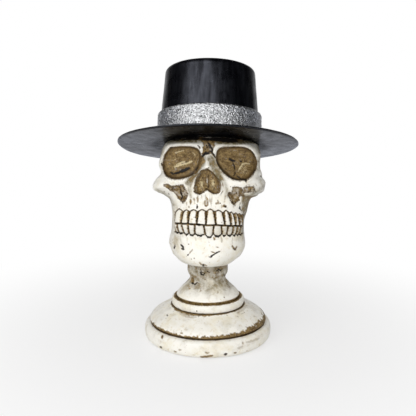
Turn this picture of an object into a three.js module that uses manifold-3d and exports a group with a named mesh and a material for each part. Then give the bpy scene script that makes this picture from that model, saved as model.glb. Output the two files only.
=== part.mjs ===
// A skull bust in a flat-crowned hat, standing on a turned pedestal.
// Millimetres, +Z up. The face looks along -Y and +X is to its left hand.
// The origin is the middle of the felt's underside, on the surface that the bust stands on.

import * as THREE from 'three';
import { mergeVertices } from 'three/addons/utils/BufferGeometryUtils.js';
import Module from 'manifold-3d';

const wasm = await Module();
wasm.setup();

// Pedestal, from the floor up
const footDiameter = 102;
const footHeight = 14;
const footLowerRound = 6.5;
const footUpperRound = 5.2;
const footGroove = 1.4;
const domeInset = 4;
const domeHeight = 13;
const ringDiameter = 58.4;
const ringHeight = 6.4;
const ringGroove = 1.1;
const ringRound = 3;
const bellDiameter = 51;
const bellShoulderDiameter = 38.6;
const bellHeight = 7.8;
const waistDiameter = 28.6;
const waistRise = 6.5;
const collarDiameter = 32.6;
const collarRise = 6.2;
const neckTopDiameter = 29;
const neckTopRise = 9;
const hollowLedge = 4.5;
const hollowWall = 8;

// Felt underneath
const feltInset = 9.5;
const feltThickness = 1.5;
const feltProud = 0.3;
const feltGlue = 0.1;

// Rod that holds head and pedestal together
const rodDiameter = 6;
const rodInPedestal = 32;
const rodInHead = 32;
const rodChamfer = 0.6;

// Head
const headWidth = 89;
const headDepth = 88;
const headHeight = 142;
const chinDrop = 1.2;
const neckInHead = 4;
const headTilt = THREE.MathUtils.degToRad(11);
const headRoll = THREE.MathUtils.degToRad(2);
const headTurn = THREE.MathUtils.degToRad(3.8);

// Hat. Its brim lies at a share of the head's height. Its mouth is the larger of a share of the
// head's width and one of the head's depth.
const brimDiameter = 145.2;
const brimThickness = 3.4;
const brimEdge = 2.2;
const brimLevelShare = 0.679;
const mouthWidthShare = 0.8224;
const mouthDepthShare = 0.8315;
const crownWall = 4.5;
const crownTaper = 4.3;
const crownRound = 4.2;
const crownRoof = 5;
const crownRoom = 10;
const hatShift = 2.3;
const hatSetBack = 1.9;
const hatTilt = THREE.MathUtils.degToRad(3.5);
const hatRoll = THREE.MathUtils.degToRad(1.3);

// Band round the crown. It stands upright, so that it thickens upwards where the crown tapers.
const bandHeight = 22;
const bandThickness = 0.8;
const bandRound = 2;

// Clearances
const seatGap = 0.3;
const overrun = 5;

// Levels and diameters that follow from the sizes above
const feltDiameter = footDiameter - 2 * feltInset;
const domeBase = footHeight + footGroove / 2;
const ringBase = domeBase + domeHeight;
const bellBase = ringBase + ringHeight + ringGroove / 2;
const bellTop = bellBase + bellHeight;
const waistLevel = bellTop + waistRise;
const collarLevel = waistLevel + collarRise;
const neckTop = collarLevel + neckTopRise;
const hatLevel = headHeight * brimLevelShare - chinDrop;
const crownHeight = headHeight * (1 - brimLevelShare) + crownRoom + crownRoof;
const hatMouth = Math.max(headWidth * mouthWidthShare, headDepth * mouthDepthShare);
const crownBaseDiameter = hatMouth + 2 * crownWall;
const crownTopDiameter = crownBaseDiameter - 2 * crownTaper;

// Fineness of the turned and the modelled surfaces
const turnSteps = 48;
const arcSteps = 4;
const headColumns = 72;
const frontCrowding = 0.42;
const hollowSteps = 24;

const resinIvory = { color: 0xf1ead9, roughness: 0.55, metalness: 0 };
const hatBlack = { color: 0x0b0c11, roughness: 0.3, metalness: 0 };
const bandSilver = { color: 0xb9babd, roughness: 0.35, metalness: 0.8 };
const steel = { color: 0x9a9ca0, roughness: 0.35, metalness: 1 };
const feltBlack = { color: 0x26262a, roughness: 0.95, metalness: 0 };

function makeMesh(name, geometry, finish) {
  const mesh = new THREE.Mesh(geometry, new THREE.MeshStandardMaterial(finish));
  mesh.name = name;
  return mesh;
}

function welded(geometry) {
  const bare = geometry.index ? geometry : geometry.clone();
  bare.deleteAttribute('normal');
  bare.deleteAttribute('uv');
  return mergeVertices(bare);
}

function solidFrom(geometry) {
  const shape = welded(geometry);
  const vertProperties = new Float32Array(shape.attributes.position.array);
  const triVerts = new Uint32Array(shape.index.array);
  return new wasm.Manifold(new wasm.Mesh({ numProp: 3, vertProperties, triVerts }));
}

function geometryFrom(solid) {
  const result = solid.getMesh();
  const geometry = new THREE.BufferGeometry();
  geometry.setAttribute('position', new THREE.BufferAttribute(result.vertProperties, 3));
  geometry.setIndex(new THREE.BufferAttribute(result.triVerts, 1));
  geometry.computeVertexNormals();
  return geometry;
}

// A lathe turns about Y, so the turned piece is stood up to have its axis along Z.
function turned(points) {
  const geometry = new THREE.LatheGeometry(points, turnSteps);
  return geometry.rotateX(Math.PI / 2);
}

function rodShape(radius, bottom, top, chamfer) {
  const points = [
    new THREE.Vector2(0, bottom),
    new THREE.Vector2(radius - chamfer, bottom),
    new THREE.Vector2(radius, bottom + chamfer),
    new THREE.Vector2(radius, top - chamfer),
    new THREE.Vector2(radius - chamfer, top),
    new THREE.Vector2(0, top),
  ];
  return turned(points);
}

function plug(radius, bottom, top) {
  const points = [
    new THREE.Vector2(0, bottom),
    new THREE.Vector2(radius, bottom),
    new THREE.Vector2(radius, top),
    new THREE.Vector2(0, top),
  ];
  return turned(points);
}

// Where the corners of the curves lie: below the ring as a share of the dome's height, below the
// shoulder as a share of the bell's, and below the waist as a share of the rise to it.
const domeCornerShare = 0.54;
const bellCornerShare = 0.55;
const waistCornerShare = 0.2;

// Outline of the pedestal from the middle of its underside up to the top of its neck.
function pedestalOutline() {
  const foot = footDiameter / 2;
  const domeFoot = foot - domeInset;
  const ring = ringDiameter / 2;
  const bell = bellDiameter / 2;
  const shoulder = bellShoulderDiameter / 2;
  const waist = waistDiameter / 2;
  const collar = collarDiameter / 2;
  const neck = neckTopDiameter / 2;
  const ringMiddle = ringBase + ringHeight / 2;
  const outline = new THREE.Path();
  outline.moveTo(0, feltProud);
  outline.lineTo(foot - footLowerRound, feltProud);
  outline.quadraticCurveTo(foot, feltProud, foot, feltProud + footLowerRound);
  outline.lineTo(foot, footHeight - footUpperRound);
  outline.quadraticCurveTo(foot, footHeight, foot - footUpperRound, footHeight);
  outline.lineTo(domeFoot - footGroove, footHeight + footGroove / 2);
  outline.lineTo(domeFoot, footHeight + footGroove);
  outline.quadraticCurveTo(domeFoot, ringBase - domeCornerShare * domeHeight, ring, ringBase);
  outline.lineTo(ring - ringGroove, ringBase);
  outline.quadraticCurveTo(ring, ringBase, ring, ringMiddle);
  outline.quadraticCurveTo(ring, ringBase + ringHeight, ring - ringRound, ringBase + ringHeight);
  outline.lineTo(bell - ringGroove, ringBase + ringHeight - ringGroove);
  outline.lineTo(bell, bellBase + ringGroove / 2);
  outline.quadraticCurveTo(bell - ringGroove, bellTop - bellCornerShare * bellHeight, shoulder, bellTop);
  outline.quadraticCurveTo(waist, waistLevel - waistCornerShare * waistRise, waist, waistLevel);
  outline.quadraticCurveTo(waist, waistLevel + collarRise / 4, (waist + collar) / 2, waistLevel + collarRise / 2);
  outline.quadraticCurveTo(collar, collarLevel - collarRise / 4, collar, collarLevel);
  outline.quadraticCurveTo(collar, neckTop, neck, neckTop);
  outline.lineTo(0, neckTop);
  return outline.getPoints(arcSteps);
}

// Room that the casting leaves open underneath.
function pedestalHollow() {
  const mouth = feltDiameter / 2 - hollowLedge;
  const roof = ringBase - hollowWall;
  const outline = new THREE.Path();
  outline.moveTo(0, 0);
  outline.lineTo(mouth, 0);
  outline.lineTo(mouth, footHeight - footUpperRound);
  outline.quadraticCurveTo(mouth, roof, 0, roof);
  return outline.getPoints(arcSteps);
}

function makePedestal() {
  const body = solidFrom(turned(pedestalOutline()));
  const feltRecess = solidFrom(plug(feltDiameter / 2 + seatGap, -overrun, feltThickness + feltGlue));
  const rodFloor = neckTop - rodInPedestal - seatGap;
  const rodHole = solidFrom(plug(rodDiameter / 2 + seatGap, rodFloor, neckTop + overrun));
  const hollow = solidFrom(turned(pedestalHollow()));
  const cut = body.subtract(feltRecess).subtract(rodHole).subtract(hollow);
  return makeMesh('pedestal', geometryFrom(cut), resinIvory);
}

function makeFelt() {
  return makeMesh('felt_pad', plug(feltDiameter / 2, 0, feltThickness), feltBlack);
}

function makeRod() {
  const shape = rodShape(rodDiameter / 2, neckTop - rodInPedestal, neckTop + rodInHead, rodChamfer);
  return makeMesh('neck_rod', shape, steel);
}

// Level sections of the head from the chin to the top of the cranium. Height is a share of the
// head's height, half width a share of half its width, and front, back and the place of the
// widest point are shares of its depth.
const sectionShares = [
  { up: 0, half: 0, front: 0.06, back: 0.04, widest: -0.05, square: 2 },
  { up: 0.004, half: 0.29, front: 0.31, back: 0.13, widest: -0.05, square: 2 },
  { up: 0.018, half: 0.415, front: 0.355, back: 0.175, widest: -0.07, square: 2.1 },
  { up: 0.039, half: 0.515, front: 0.385, back: 0.195, widest: -0.09, square: 2.2 },
  { up: 0.068, half: 0.605, front: 0.4, back: 0.205, widest: -0.1, square: 2.3 },
  { up: 0.131, half: 0.675, front: 0.41, back: 0.21, widest: -0.1, square: 2.3 },
  { up: 0.199, half: 0.65, front: 0.42, back: 0.215, widest: -0.1, square: 2.3 },
  { up: 0.263, half: 0.642, front: 0.432, back: 0.22, widest: -0.1, square: 2.3 },
  { up: 0.317, half: 0.662, front: 0.432, back: 0.24, widest: -0.1, square: 2.3 },
  { up: 0.353, half: 0.695, front: 0.432, back: 0.28, widest: -0.1, square: 2.4 },
  { up: 0.376, half: 0.765, front: 0.432, back: 0.34, widest: -0.1, square: 2.4 },
  { up: 0.396, half: 0.885, front: 0.438, back: 0.41, widest: -0.11, square: 2.4 },
  { up: 0.417, half: 0.97, front: 0.443, back: 0.455, widest: -0.11, square: 2.5 },
  { up: 0.444, half: 1, front: 0.443, back: 0.49, widest: -0.11, square: 2.6 },
  { up: 0.467, half: 0.985, front: 0.443, back: 0.51, widest: -0.1, square: 2.7 },
  { up: 0.503, half: 0.905, front: 0.443, back: 0.528, widest: -0.08, square: 2.7 },
  { up: 0.544, half: 0.9, front: 0.443, back: 0.534, widest: -0.045, square: 2.7 },
  { up: 0.594, half: 0.9, front: 0.45, back: 0.528, widest: -0.02, square: 2.6 },
  { up: 0.634, half: 0.885, front: 0.466, back: 0.511, widest: 0, square: 2.5 },
  { up: 0.666, half: 0.85, front: 0.445, back: 0.489, widest: 0.01, square: 2.2 },
  { up: 0.694, half: 0.825, front: 0.405, back: 0.46, widest: 0.02, square: 2 },
  { up: 0.755, half: 0.783, front: 0.37, back: 0.435, widest: 0.02, square: 2 },
  { up: 0.825, half: 0.725, front: 0.34, back: 0.405, widest: 0.02, square: 2 },
  { up: 0.889, half: 0.618, front: 0.28, back: 0.35, widest: 0.02, square: 2 },
  { up: 0.945, half: 0.454, front: 0.19, back: 0.26, widest: 0.03, square: 2 },
  { up: 0.98, half: 0.27, front: 0.1, back: 0.17, widest: 0.03, square: 2 },
  { up: 1, half: 0, front: 0, back: 0.06, widest: 0.03, square: 2 },
];

// What is hollowed out of the face or stands out on it. Place and size across are shares of half
// the head's width, place and size up are shares of its height, and depth is a share of its
// depth, hollow where it is negative. A larger edge share gives a softer border, and a lean
// brings the top of a feature nearer to the middle of the face.
const featureShares = [
  { across: 0.473, up: 0.55, wide: 0.333, tall: 0.088, depth: -0.062, edge: 0.3, square: 2.6, lean: 0.1 },
  { across: 0.483, up: 0.648, wide: 0.406, tall: 0.026, depth: 0.03, edge: 0.9, square: 2.4, lean: 0 },
  { across: 0.097, up: 0.435, wide: 0.121, tall: 0.066, depth: -0.05, edge: 0.45, square: 2, lean: 0.7 },
  { across: 0, up: 0.555, wide: 0.106, tall: 0.085, depth: 0.05, edge: 0.9, square: 2, lean: 0 },
  { across: 0, up: 0.634, wide: 0.155, tall: 0.03, depth: -0.025, edge: 0.8, square: 2, lean: 0 },
  { across: 0.58, up: 0.392, wide: 0.193, tall: 0.042, depth: -0.045, edge: 0.7, square: 2, lean: 0.4 },
  { across: 0, up: 0.29, wide: 0.58, tall: 0.075, depth: 0.022, edge: 0.4, square: 3, lean: 0 },
  { across: 0, up: 0.225, wide: 0.599, tall: 0.009, depth: -0.02, edge: 0.9, square: 4, lean: 0 },
  { across: 0, up: 0.09, wide: 0.329, tall: 0.068, depth: 0.03, edge: 0.9, square: 2, lean: 0 },
];

function between(a, b, key, share) {
  return a[key] + (b[key] - a[key]) * share;
}

// Section at a height share, eased between the two nearest rows.
function sectionAt(up) {
  let row = 1;
  while (row < sectionShares.length - 1 && sectionShares[row].up < up) row += 1;
  const below = sectionShares[row - 1];
  const above = sectionShares[row];
  const share = (up - below.up) / (above.up - below.up);
  const keys = ['half', 'front', 'back', 'widest', 'square'];
  return Object.fromEntries(keys.map((key) => [key, between(below, above, key, share)]));
}

// How far a feature's soft border reaches outside it, as a share of its edge.
const borderShare = 0.25;

function featureDepth(across, up) {
  let total = 0;
  for (const item of featureShares) {
    const rise = (up - item.up) / item.tall;
    const side = (across - item.across) / item.wide + item.lean * rise;
    const reach = Math.abs(side) ** item.square + Math.abs(rise) ** item.square;
    const near = reach ** (1 / item.square);
    total += item.depth * (1 - THREE.MathUtils.smoothstep(near, 1 - item.edge, 1 + item.edge * borderShare));
  }
  return total;
}

// Behind each branch of the jaw the head is drawn in towards the column of the neck.
const jawHollowShares = { depth: 0.068, turn: 0.76, spread: 0.14, from: 0.03, to: 0.36, edge: 0.06 };

function jawHollow(angle, up) {
  const { depth, turn, spread, from, to, edge } = jawHollowShares;
  const away = (Math.abs(angle) / Math.PI - turn) / spread;
  const rising = THREE.MathUtils.smoothstep(up, from, from + edge);
  const falling = 1 - THREE.MathUtils.smoothstep(up, to - edge, to);
  return depth * Math.exp(-away * away) * rising * falling;
}

// Features fade out where the surface turns away from the front.
const facingShares = { none: 0.1, full: 0.5 };

// Point on the head: angle 0 is straight ahead, height is a share of the head's height.
function headPoint(angle, up) {
  const section = sectionAt(up);
  const reach = Math.cos(angle) > 0 ? section.front + section.widest : section.back - section.widest;
  const half = section.half * headWidth / 2;
  const depth = Math.max(reach, 0) * headDepth;
  const square = Math.cos(angle) > 0 ? section.square : 2;
  const x = Math.sin(angle);
  const y = -Math.cos(angle);
  if (half === 0) return new THREE.Vector3(0, section.widest * headDepth, up * headHeight - chinDrop);
  const stretch = (Math.abs(x) / half) ** square + (Math.abs(y) / depth) ** square;
  const radius = stretch ** (-1 / square) - jawHollow(angle, up) * headWidth;
  const place = new THREE.Vector3(radius * x, radius * y, up * headHeight - chinDrop);
  place.y += section.widest * headDepth;
  const facing = THREE.MathUtils.smoothstep(-y, facingShares.none, facingShares.full);
  place.y -= facing * featureDepth(Math.abs(place.x) / (headWidth / 2), up) * headDepth;
  return place;
}

// Columns stand closer together over the face than behind it.
function columnAngle(column) {
  const turn = 2 * Math.PI * column / headColumns;
  const crowded = turn - frontCrowding * Math.sin(turn);
  return crowded > Math.PI ? crowded - 2 * Math.PI : crowded;
}

// Heights of the rings, with more of them over the jaw and the face.
const detailShares = { from: 0.05, to: 0.7, spacing: 0.024 };

function ringHeights() {
  const heights = [];
  for (let row = 1; row < sectionShares.length - 1; row += 1) {
    const up = sectionShares[row].up;
    const gap = sectionShares[row + 1].up - up;
    const detailed = up > detailShares.from && up < detailShares.to;
    const parts = detailed ? Math.ceil(gap / detailShares.spacing) : 1;
    for (let part = 0; part < parts; part += 1) heights.push(up + gap * part / parts);
  }
  return heights;
}

function headGeometry() {
  const heights = ringHeights();
  const points = [headPoint(0, 0)];
  for (const up of heights) {
    for (let column = 0; column < headColumns; column += 1) points.push(headPoint(columnAngle(column), up));
  }
  points.push(headPoint(0, 1));
  const triangles = [];
  const last = points.length - 1;
  const at = (ring, column) => 1 + ring * headColumns + column % headColumns;
  for (let column = 0; column < headColumns; column += 1) {
    triangles.push(0, at(0, column + 1), at(0, column));
    triangles.push(last, at(heights.length - 1, column), at(heights.length - 1, column + 1));
    for (let ring = 0; ring < heights.length - 1; ring += 1) {
      triangles.push(at(ring, column), at(ring, column + 1), at(ring + 1, column + 1));
      triangles.push(at(ring, column), at(ring + 1, column + 1), at(ring + 1, column));
    }
  }
  const geometry = new THREE.BufferGeometry().setFromPoints(points);
  geometry.setIndex(triangles);
  return geometry;
}

// Inside of the hat, from the middle of its roof down to the mouth. A gap makes it roomier.
function addHatInside(outline, gap) {
  const base = crownBaseDiameter / 2;
  const top = crownTopDiameter / 2;
  const roof = crownHeight - crownRoof - gap;
  outline.lineTo(0, roof);
  outline.lineTo(top - crownRound, roof);
  outline.lineTo(top - crownWall - gap, roof - crownRound / 2);
  outline.lineTo(base - crownWall - gap, -brimThickness / 2 - gap);
  return outline.getPoints(arcSteps);
}

// Underside of the brim, from the mouth outwards.
function startBrim(gap) {
  const outline = new THREE.Path();
  outline.moveTo(crownBaseDiameter / 2 - crownWall - gap, -brimThickness / 2 - gap);
  outline.lineTo(brimDiameter / 2 - brimEdge, -brimEdge / 2 - gap);
  return outline;
}

// Closed outline of the hat: up its outside from the brim's edge and down the hollow inside.
function hatOutline() {
  const rim = brimDiameter / 2;
  const base = crownBaseDiameter / 2;
  const top = crownTopDiameter / 2;
  const outline = startBrim(0);
  outline.quadraticCurveTo(rim, -brimEdge / 2, rim, 0);
  outline.quadraticCurveTo(rim, brimEdge / 2, rim - brimEdge, brimEdge / 2);
  outline.lineTo(base, brimThickness / 2);
  outline.lineTo(top, crownHeight - crownRound);
  outline.quadraticCurveTo(top, crownHeight, top - crownRound, crownHeight);
  outline.lineTo(0, crownHeight);
  return addHatInside(outline, 0);
}

// What the head keeps clear of: the hat, with a gap round it, and all that lies outside the
// crown above the brim.
function hatKeepOut() {
  const rim = brimDiameter / 2;
  const outline = startBrim(seatGap);
  outline.lineTo(rim, 0);
  outline.lineTo(rim, crownHeight);
  outline.lineTo(0, crownHeight);
  return addHatInside(outline, seatGap);
}

function makeHat() {
  return makeMesh('hat', turned(hatOutline()), hatBlack);
}

function crownRadiusAt(height) {
  const share = (height - brimThickness / 2) / (crownHeight - crownRound - brimThickness / 2);
  return (crownBaseDiameter + (crownTopDiameter - crownBaseDiameter) * share) / 2;
}

function makeBand() {
  const bottom = brimThickness / 2 + seatGap;
  const top = bottom + bandHeight;
  const inner = (height) => crownRadiusAt(height) + seatGap;
  const outer = inner(bottom) + bandThickness;
  const outline = new THREE.Path();
  outline.moveTo(inner(bottom), bottom);
  outline.lineTo(outer, bottom);
  outline.lineTo(outer, top - bandRound);
  outline.quadraticCurveTo(outer, top, outer - bandRound, top);
  outline.lineTo(inner(top), top);
  outline.lineTo(inner(bottom), bottom);
  return makeMesh('hat_band', turned(outline.getPoints(arcSteps)), bandSilver);
}

function placeHat(object) {
  object.position.set(-hatShift, hatSetBack, hatLevel);
  object.rotation.set(-hatTilt, -hatRoll, 0);
  object.updateMatrix();
  return object;
}

function placeHead(object) {
  object.position.set(0, 0, neckTop - neckInHead);
  object.rotation.set(-headTilt, headRoll, -headTurn);
  object.updateMatrix();
  return object;
}

// The head is cast hollow, with a pour hole at the top of the cranium, which the hat covers.
const headHollowShares = { wide: 0.65, deep: 0.61, tall: 0.59, level: 0.655, back: 0.09, pourHole: 0.4 };

function headHollow() {
  const { wide, deep, tall, level, back, pourHole } = headHollowShares;
  const room = new THREE.SphereGeometry(1, hollowSteps, hollowSteps / 2);
  room.scale(wide * headWidth / 2, deep * headDepth / 2, tall * headHeight / 2);
  room.translate(0, back * headDepth, level * headHeight - chinDrop);
  const hole = plug(pourHole * headWidth / 2, level * headHeight, headHeight + overrun);
  hole.translate(0, back * headDepth, 0);
  return [solidFrom(room), solidFrom(hole)];
}

// The head is cut to sit in the hat, over the pedestal's neck and on the rod.
function makeSkull() {
  const intoHead = placeHead(new THREE.Object3D()).matrix.clone().invert();
  const hatPlace = placeHat(new THREE.Object3D()).matrix;
  const hatRoom = solidFrom(turned(hatKeepOut()).applyMatrix4(hatPlace));
  const neckOutline = pedestalOutline().map((point) => new THREE.Vector2(
    point.x === 0 ? 0 : point.x + seatGap, point.y === neckTop ? neckTop + seatGap : point.y));
  const neckRoom = solidFrom(turned(neckOutline).applyMatrix4(intoHead));
  const rodHole = plug(rodDiameter / 2 + seatGap, neckTop - overrun, neckTop + rodInHead + seatGap);
  const rodRoom = solidFrom(rodHole.applyMatrix4(intoHead));
  const head = solidFrom(headGeometry());
  const solid = head.subtract(hatRoom).subtract(neckRoom).subtract(rodRoom);
  const cut = headHollow().reduce((rest, room) => rest.subtract(room), solid);
  return makeMesh('skull', geometryFrom(cut), resinIvory);
}

const bust = new THREE.Group();
const head = placeHead(new THREE.Group());
const hat = placeHat(new THREE.Group());
hat.add(makeHat(), makeBand());
head.add(makeSkull(), hat);
bust.add(makePedestal(), makeFelt(), makeRod(), head);

export default bust;
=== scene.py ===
import math

import bpy
import numpy as np
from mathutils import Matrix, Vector


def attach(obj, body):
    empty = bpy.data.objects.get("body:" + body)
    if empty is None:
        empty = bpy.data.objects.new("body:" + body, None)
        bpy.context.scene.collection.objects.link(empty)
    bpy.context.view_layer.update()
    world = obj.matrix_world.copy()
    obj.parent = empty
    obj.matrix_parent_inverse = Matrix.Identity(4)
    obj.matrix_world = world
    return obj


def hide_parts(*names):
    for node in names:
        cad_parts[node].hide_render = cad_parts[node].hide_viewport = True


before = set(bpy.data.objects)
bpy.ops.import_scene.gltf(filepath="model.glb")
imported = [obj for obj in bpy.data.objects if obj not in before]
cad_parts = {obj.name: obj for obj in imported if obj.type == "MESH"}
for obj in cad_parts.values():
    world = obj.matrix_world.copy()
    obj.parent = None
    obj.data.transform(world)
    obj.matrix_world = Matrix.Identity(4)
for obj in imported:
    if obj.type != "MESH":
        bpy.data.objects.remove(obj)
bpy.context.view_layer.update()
mm = 0.001
print("frame loaded")

# Camera: lengths in mm, the focal length and the axis column in pixels of the 416 pixel frame
view = {"distance": 450.0, "height": 181.0, "pitch": 9.6, "focal": 579.0, "axisColumn": 207.8,
        "imageSize": 416, "sensor": 36.0}


def addCamera():
    data = bpy.data.cameras.new("camera")
    data.sensor_width = view["sensor"]
    data.lens = view["focal"] / view["imageSize"] * view["sensor"]
    data.clip_start = 0.01
    camera = bpy.data.objects.new("camera", data)
    bpy.context.collection.objects.link(camera)
    aside = (view["imageSize"] / 2 - view["axisColumn"]) * view["distance"] / view["focal"]
    camera.location = Vector((aside, -view["distance"], view["height"])) * mm
    camera.rotation_euler = (math.radians(90 - view["pitch"]), 0, 0)
    bpy.context.scene.camera = camera


# Where a point of the object falls in the photo, in pixels
def toPhoto(points):
    tilt = math.radians(view["pitch"])
    forward = points[..., 1] + view["distance"]
    drop = view["height"] - points[..., 2]
    along = forward * math.cos(tilt) + drop * math.sin(tilt)
    rise = forward * math.sin(tilt) - drop * math.cos(tilt)
    x = view["axisColumn"] + view["focal"] * points[..., 0] / along
    return x, view["imageSize"] / 2 - view["focal"] * rise / along


addCamera()


# Small maths
def smoothStep(low, high, x):
    t = np.clip((x - low) / (high - low), 0, 1)
    return t * t * (3 - 2 * t)


def bump(x, width):
    return np.exp(-(x / width) ** 2)


# Rises from start to full, and falls again from fade to end
def between(x, start, full, fade, end):
    return smoothStep(start, full, x) * (1 - smoothStep(fade, end, x))


# Soft mound round a middle, with its size across and up
def mound(x, y, middleX, middleY, wide, tall):
    return bump(x - middleX, wide) * bump(y - middleY, tall)


# Smooth curve through a table, without overshoot
def eased(x, xs, ys):
    h = np.diff(xs)
    rise = np.diff(ys) / h
    slopes = np.zeros(len(xs))
    product = rise[:-1] * rise[1:]
    total = np.where(product > 0, rise[:-1] + rise[1:], 1)
    slopes[1:-1] = np.where(product > 0, 2 * product / total, 0)
    slopes[0], slopes[-1] = rise[0], rise[-1]
    i = np.clip(np.searchsorted(xs, x, side="right") - 1, 0, len(xs) - 2)
    t = (x - xs[i]) / h[i]
    return ((2 * t**3 - 3 * t**2 + 1) * ys[i] + (t**3 - 2 * t**2 + t) * h[i] * slopes[i]
            + (3 * t**2 - 2 * t**3) * ys[i + 1] + (t**3 - t**2) * h[i] * slopes[i + 1])


# Smooth random values from -1 to 1, with lumps of about the given size
def lumps(points, size, seed):
    cells, offset = 32, 500
    lattice = np.random.default_rng(seed).uniform(-1, 1, (cells, cells, cells))
    place = points @ turnMatrix(31, 17, 43) / size + offset
    low = np.floor(place).astype(int)
    t = place - low
    t = t * t * (3 - 2 * t)
    total = np.zeros(points.shape[:-1])
    for dx in (0, 1):
        for dy in (0, 1):
            for dz in (0, 1):
                share = np.abs(1 - dx - t[..., 0]) * np.abs(1 - dy - t[..., 1]) * np.abs(1 - dz - t[..., 2])
                i, j, k = ((low[..., axis] + step) % cells for axis, step in enumerate((dx, dy, dz)))
                total += share * lattice[i, j, k]
    return total


# Closed smooth outline through photo points
def looped(points, perSpan=6):
    p = np.array(points, float)
    before, after, beyond = np.roll(p, 1, 0), np.roll(p, -1, 0), np.roll(p, -2, 0)
    spans = []
    for k in range(perSpan):
        t = k / perSpan
        spans.append(0.5 * (2 * p + (after - before) * t + (2 * before - 5 * p + 4 * after - beyond) * t**2
                            + (3 * p - before - 3 * after + beyond) * t**3))
    return np.stack(spans, 1).reshape(-1, 2)


def lineDistance(x, y, points, closed):
    starts = points if closed else points[:-1]
    ends = np.roll(points, -1, 0) if closed else points[1:]
    best = np.full(x.shape, 99.0)
    for (ax, ay), (bx, by) in zip(starts, ends):
        dx, dy = bx - ax, by - ay
        t = np.clip(((x - ax) * dx + (y - ay) * dy) / (dx * dx + dy * dy + 1e-9), 0, 1)
        best = np.minimum(best, np.hypot(x - ax - t * dx, y - ay - t * dy))
    return best


def nearBox(x, y, points, reach):
    low, high = points.min(0) - reach, points.max(0) + reach
    return (x > low[0]) & (x < high[0]) & (y > low[1]) & (y < high[1])


# Pixels inside an outline, negative outside it
def insideDistance(x, y, outline, reach=14):
    points = looped(outline)
    distance = np.full(x.shape, -99.0)
    near = nearBox(x, y, points, reach)
    px, py = x[near], y[near]
    inside = np.zeros(px.shape, bool)
    for (ax, ay), (bx, by) in zip(points, np.roll(points, -1, 0)):
        crosses = (ay > py) != (by > py)
        inside ^= crosses & (px < ax + (py - ay) * (bx - ax) / (by - ay + 1e-12))
    gap = lineDistance(px, py, points, True)
    distance[near] = np.where(inside, gap, -gap)
    return distance


def strokeDistance(x, y, stroke, reach=6):
    points = np.array(stroke, float)
    distance = np.full(x.shape, 99.0)
    near = nearBox(x, y, points, reach)
    distance[near] = lineDistance(x[near], y[near], points, False)
    return distance


# Mesh helpers
def deselectAll():
    if bpy.context.mode != "OBJECT":
        bpy.ops.object.mode_set(mode="OBJECT")
    bpy.ops.object.select_all(action="DESELECT")


def selectOnly(piece):
    deselectAll()
    piece.select_set(True)
    bpy.context.view_layer.objects.active = piece


def readPoints(piece):
    values = np.empty(len(piece.data.vertices) * 3)
    piece.data.vertices.foreach_get("co", values)
    return values.reshape(-1, 3) / mm


def writePoints(piece, points):
    piece.data.vertices.foreach_set("co", (points * mm).ravel())
    piece.data.update()


def readNormals(piece):
    values = np.empty(len(piece.data.vertices) * 3)
    piece.data.vertex_normals.foreach_get("vector", values)
    return values.reshape(-1, 3)


def paint(piece, name, values):
    layer = piece.data.attributes.new(name, "FLOAT", "POINT")
    layer.data.foreach_set("value", np.clip(values, 0, 1).astype(np.float32))


def finishPiece(piece, material, node):
    selectOnly(piece)
    piece.data.materials.clear()
    piece.data.materials.append(material)
    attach(piece, "root")
    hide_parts(node)


# Outlines of turned pieces, as (radius, height) in mm. They stop just short of the axis
nearAxis = 0.4


def straight(points, end, parts=1):
    start = points[-1]
    for k in range(1, parts + 1):
        points.append(tuple(start[i] + (end[i] - start[i]) * k / parts for i in (0, 1)))


def curved(points, corner, end, parts=12):
    start = points[-1]
    for k in range(1, parts + 1):
        t = k / parts
        points.append(tuple((1 - t) ** 2 * start[i] + 2 * t * (1 - t) * corner[i] + t * t * end[i]
                            for i in (0, 1)))


# Even spacing along an outline, with its corners worn round
def evened(points, spacing, worn):
    step = 0.05
    p = np.array(points, float)
    length = np.concatenate([[0], np.cumsum(np.hypot(*np.diff(p, axis=0).T))])
    fine = np.linspace(0, length[-1], int(length[-1] / step))
    dense = np.stack([np.interp(fine, length, p[:, i]) for i in (0, 1)], 1)
    reach = int(worn / step)
    before, after = 2 * dense[0] - dense[reach:0:-1], 2 * dense[-1] - dense[-2:-reach - 2:-1]
    padded = np.concatenate([before, dense, after])
    sums = np.cumsum(np.concatenate([[[0, 0]], padded]), 0)
    smooth = (sums[2 * reach + 1:] - sums[:-2 * reach - 1]) / (2 * reach + 1)
    picks = np.linspace(0, len(smooth) - 1, int(length[-1] / spacing)).astype(int)
    return [tuple(smooth[i]) for i in picks]


# Extrudes one vertex along an outline, spins it round the axis and closes its ends
def turnedPiece(name, outline, steps):
    deselectAll()
    bpy.ops.mesh.primitive_plane_add(size=1 * mm, location=(0, 0, 0))
    piece = bpy.context.object
    piece.name = piece.data.name = name
    bpy.ops.object.mode_set(mode="EDIT")
    bpy.ops.mesh.select_all(action="SELECT")
    bpy.ops.mesh.merge(type="CENTER")
    radius, height = outline[0]
    bpy.ops.transform.translate(value=(radius * mm, 0, height * mm))
    for nextRadius, nextHeight in outline[1:]:
        step = ((nextRadius - radius) * mm, 0, (nextHeight - height) * mm)
        bpy.ops.mesh.extrude_vertices_move(TRANSFORM_OT_translate={"value": step})
        radius, height = nextRadius, nextHeight
    bpy.ops.mesh.select_all(action="SELECT")
    bpy.ops.mesh.spin(steps=steps, angle=2 * math.pi, center=(0, 0, 0), axis=(0, 0, 1), use_auto_merge=True)
    bpy.ops.mesh.select_all(action="SELECT")
    bpy.ops.mesh.remove_doubles(threshold=0.002 * mm)
    if abs(radius - outline[0][0]) + abs(height - outline[0][1]) > 0.001:
        bpy.ops.mesh.fill_holes(sides=0)
    bpy.ops.mesh.select_all(action="SELECT")
    bpy.ops.mesh.normals_make_consistent(inside=False)
    bpy.ops.object.mode_set(mode="OBJECT")
    bpy.ops.object.shade_smooth_by_angle(angle=math.radians(50))
    return piece


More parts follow.
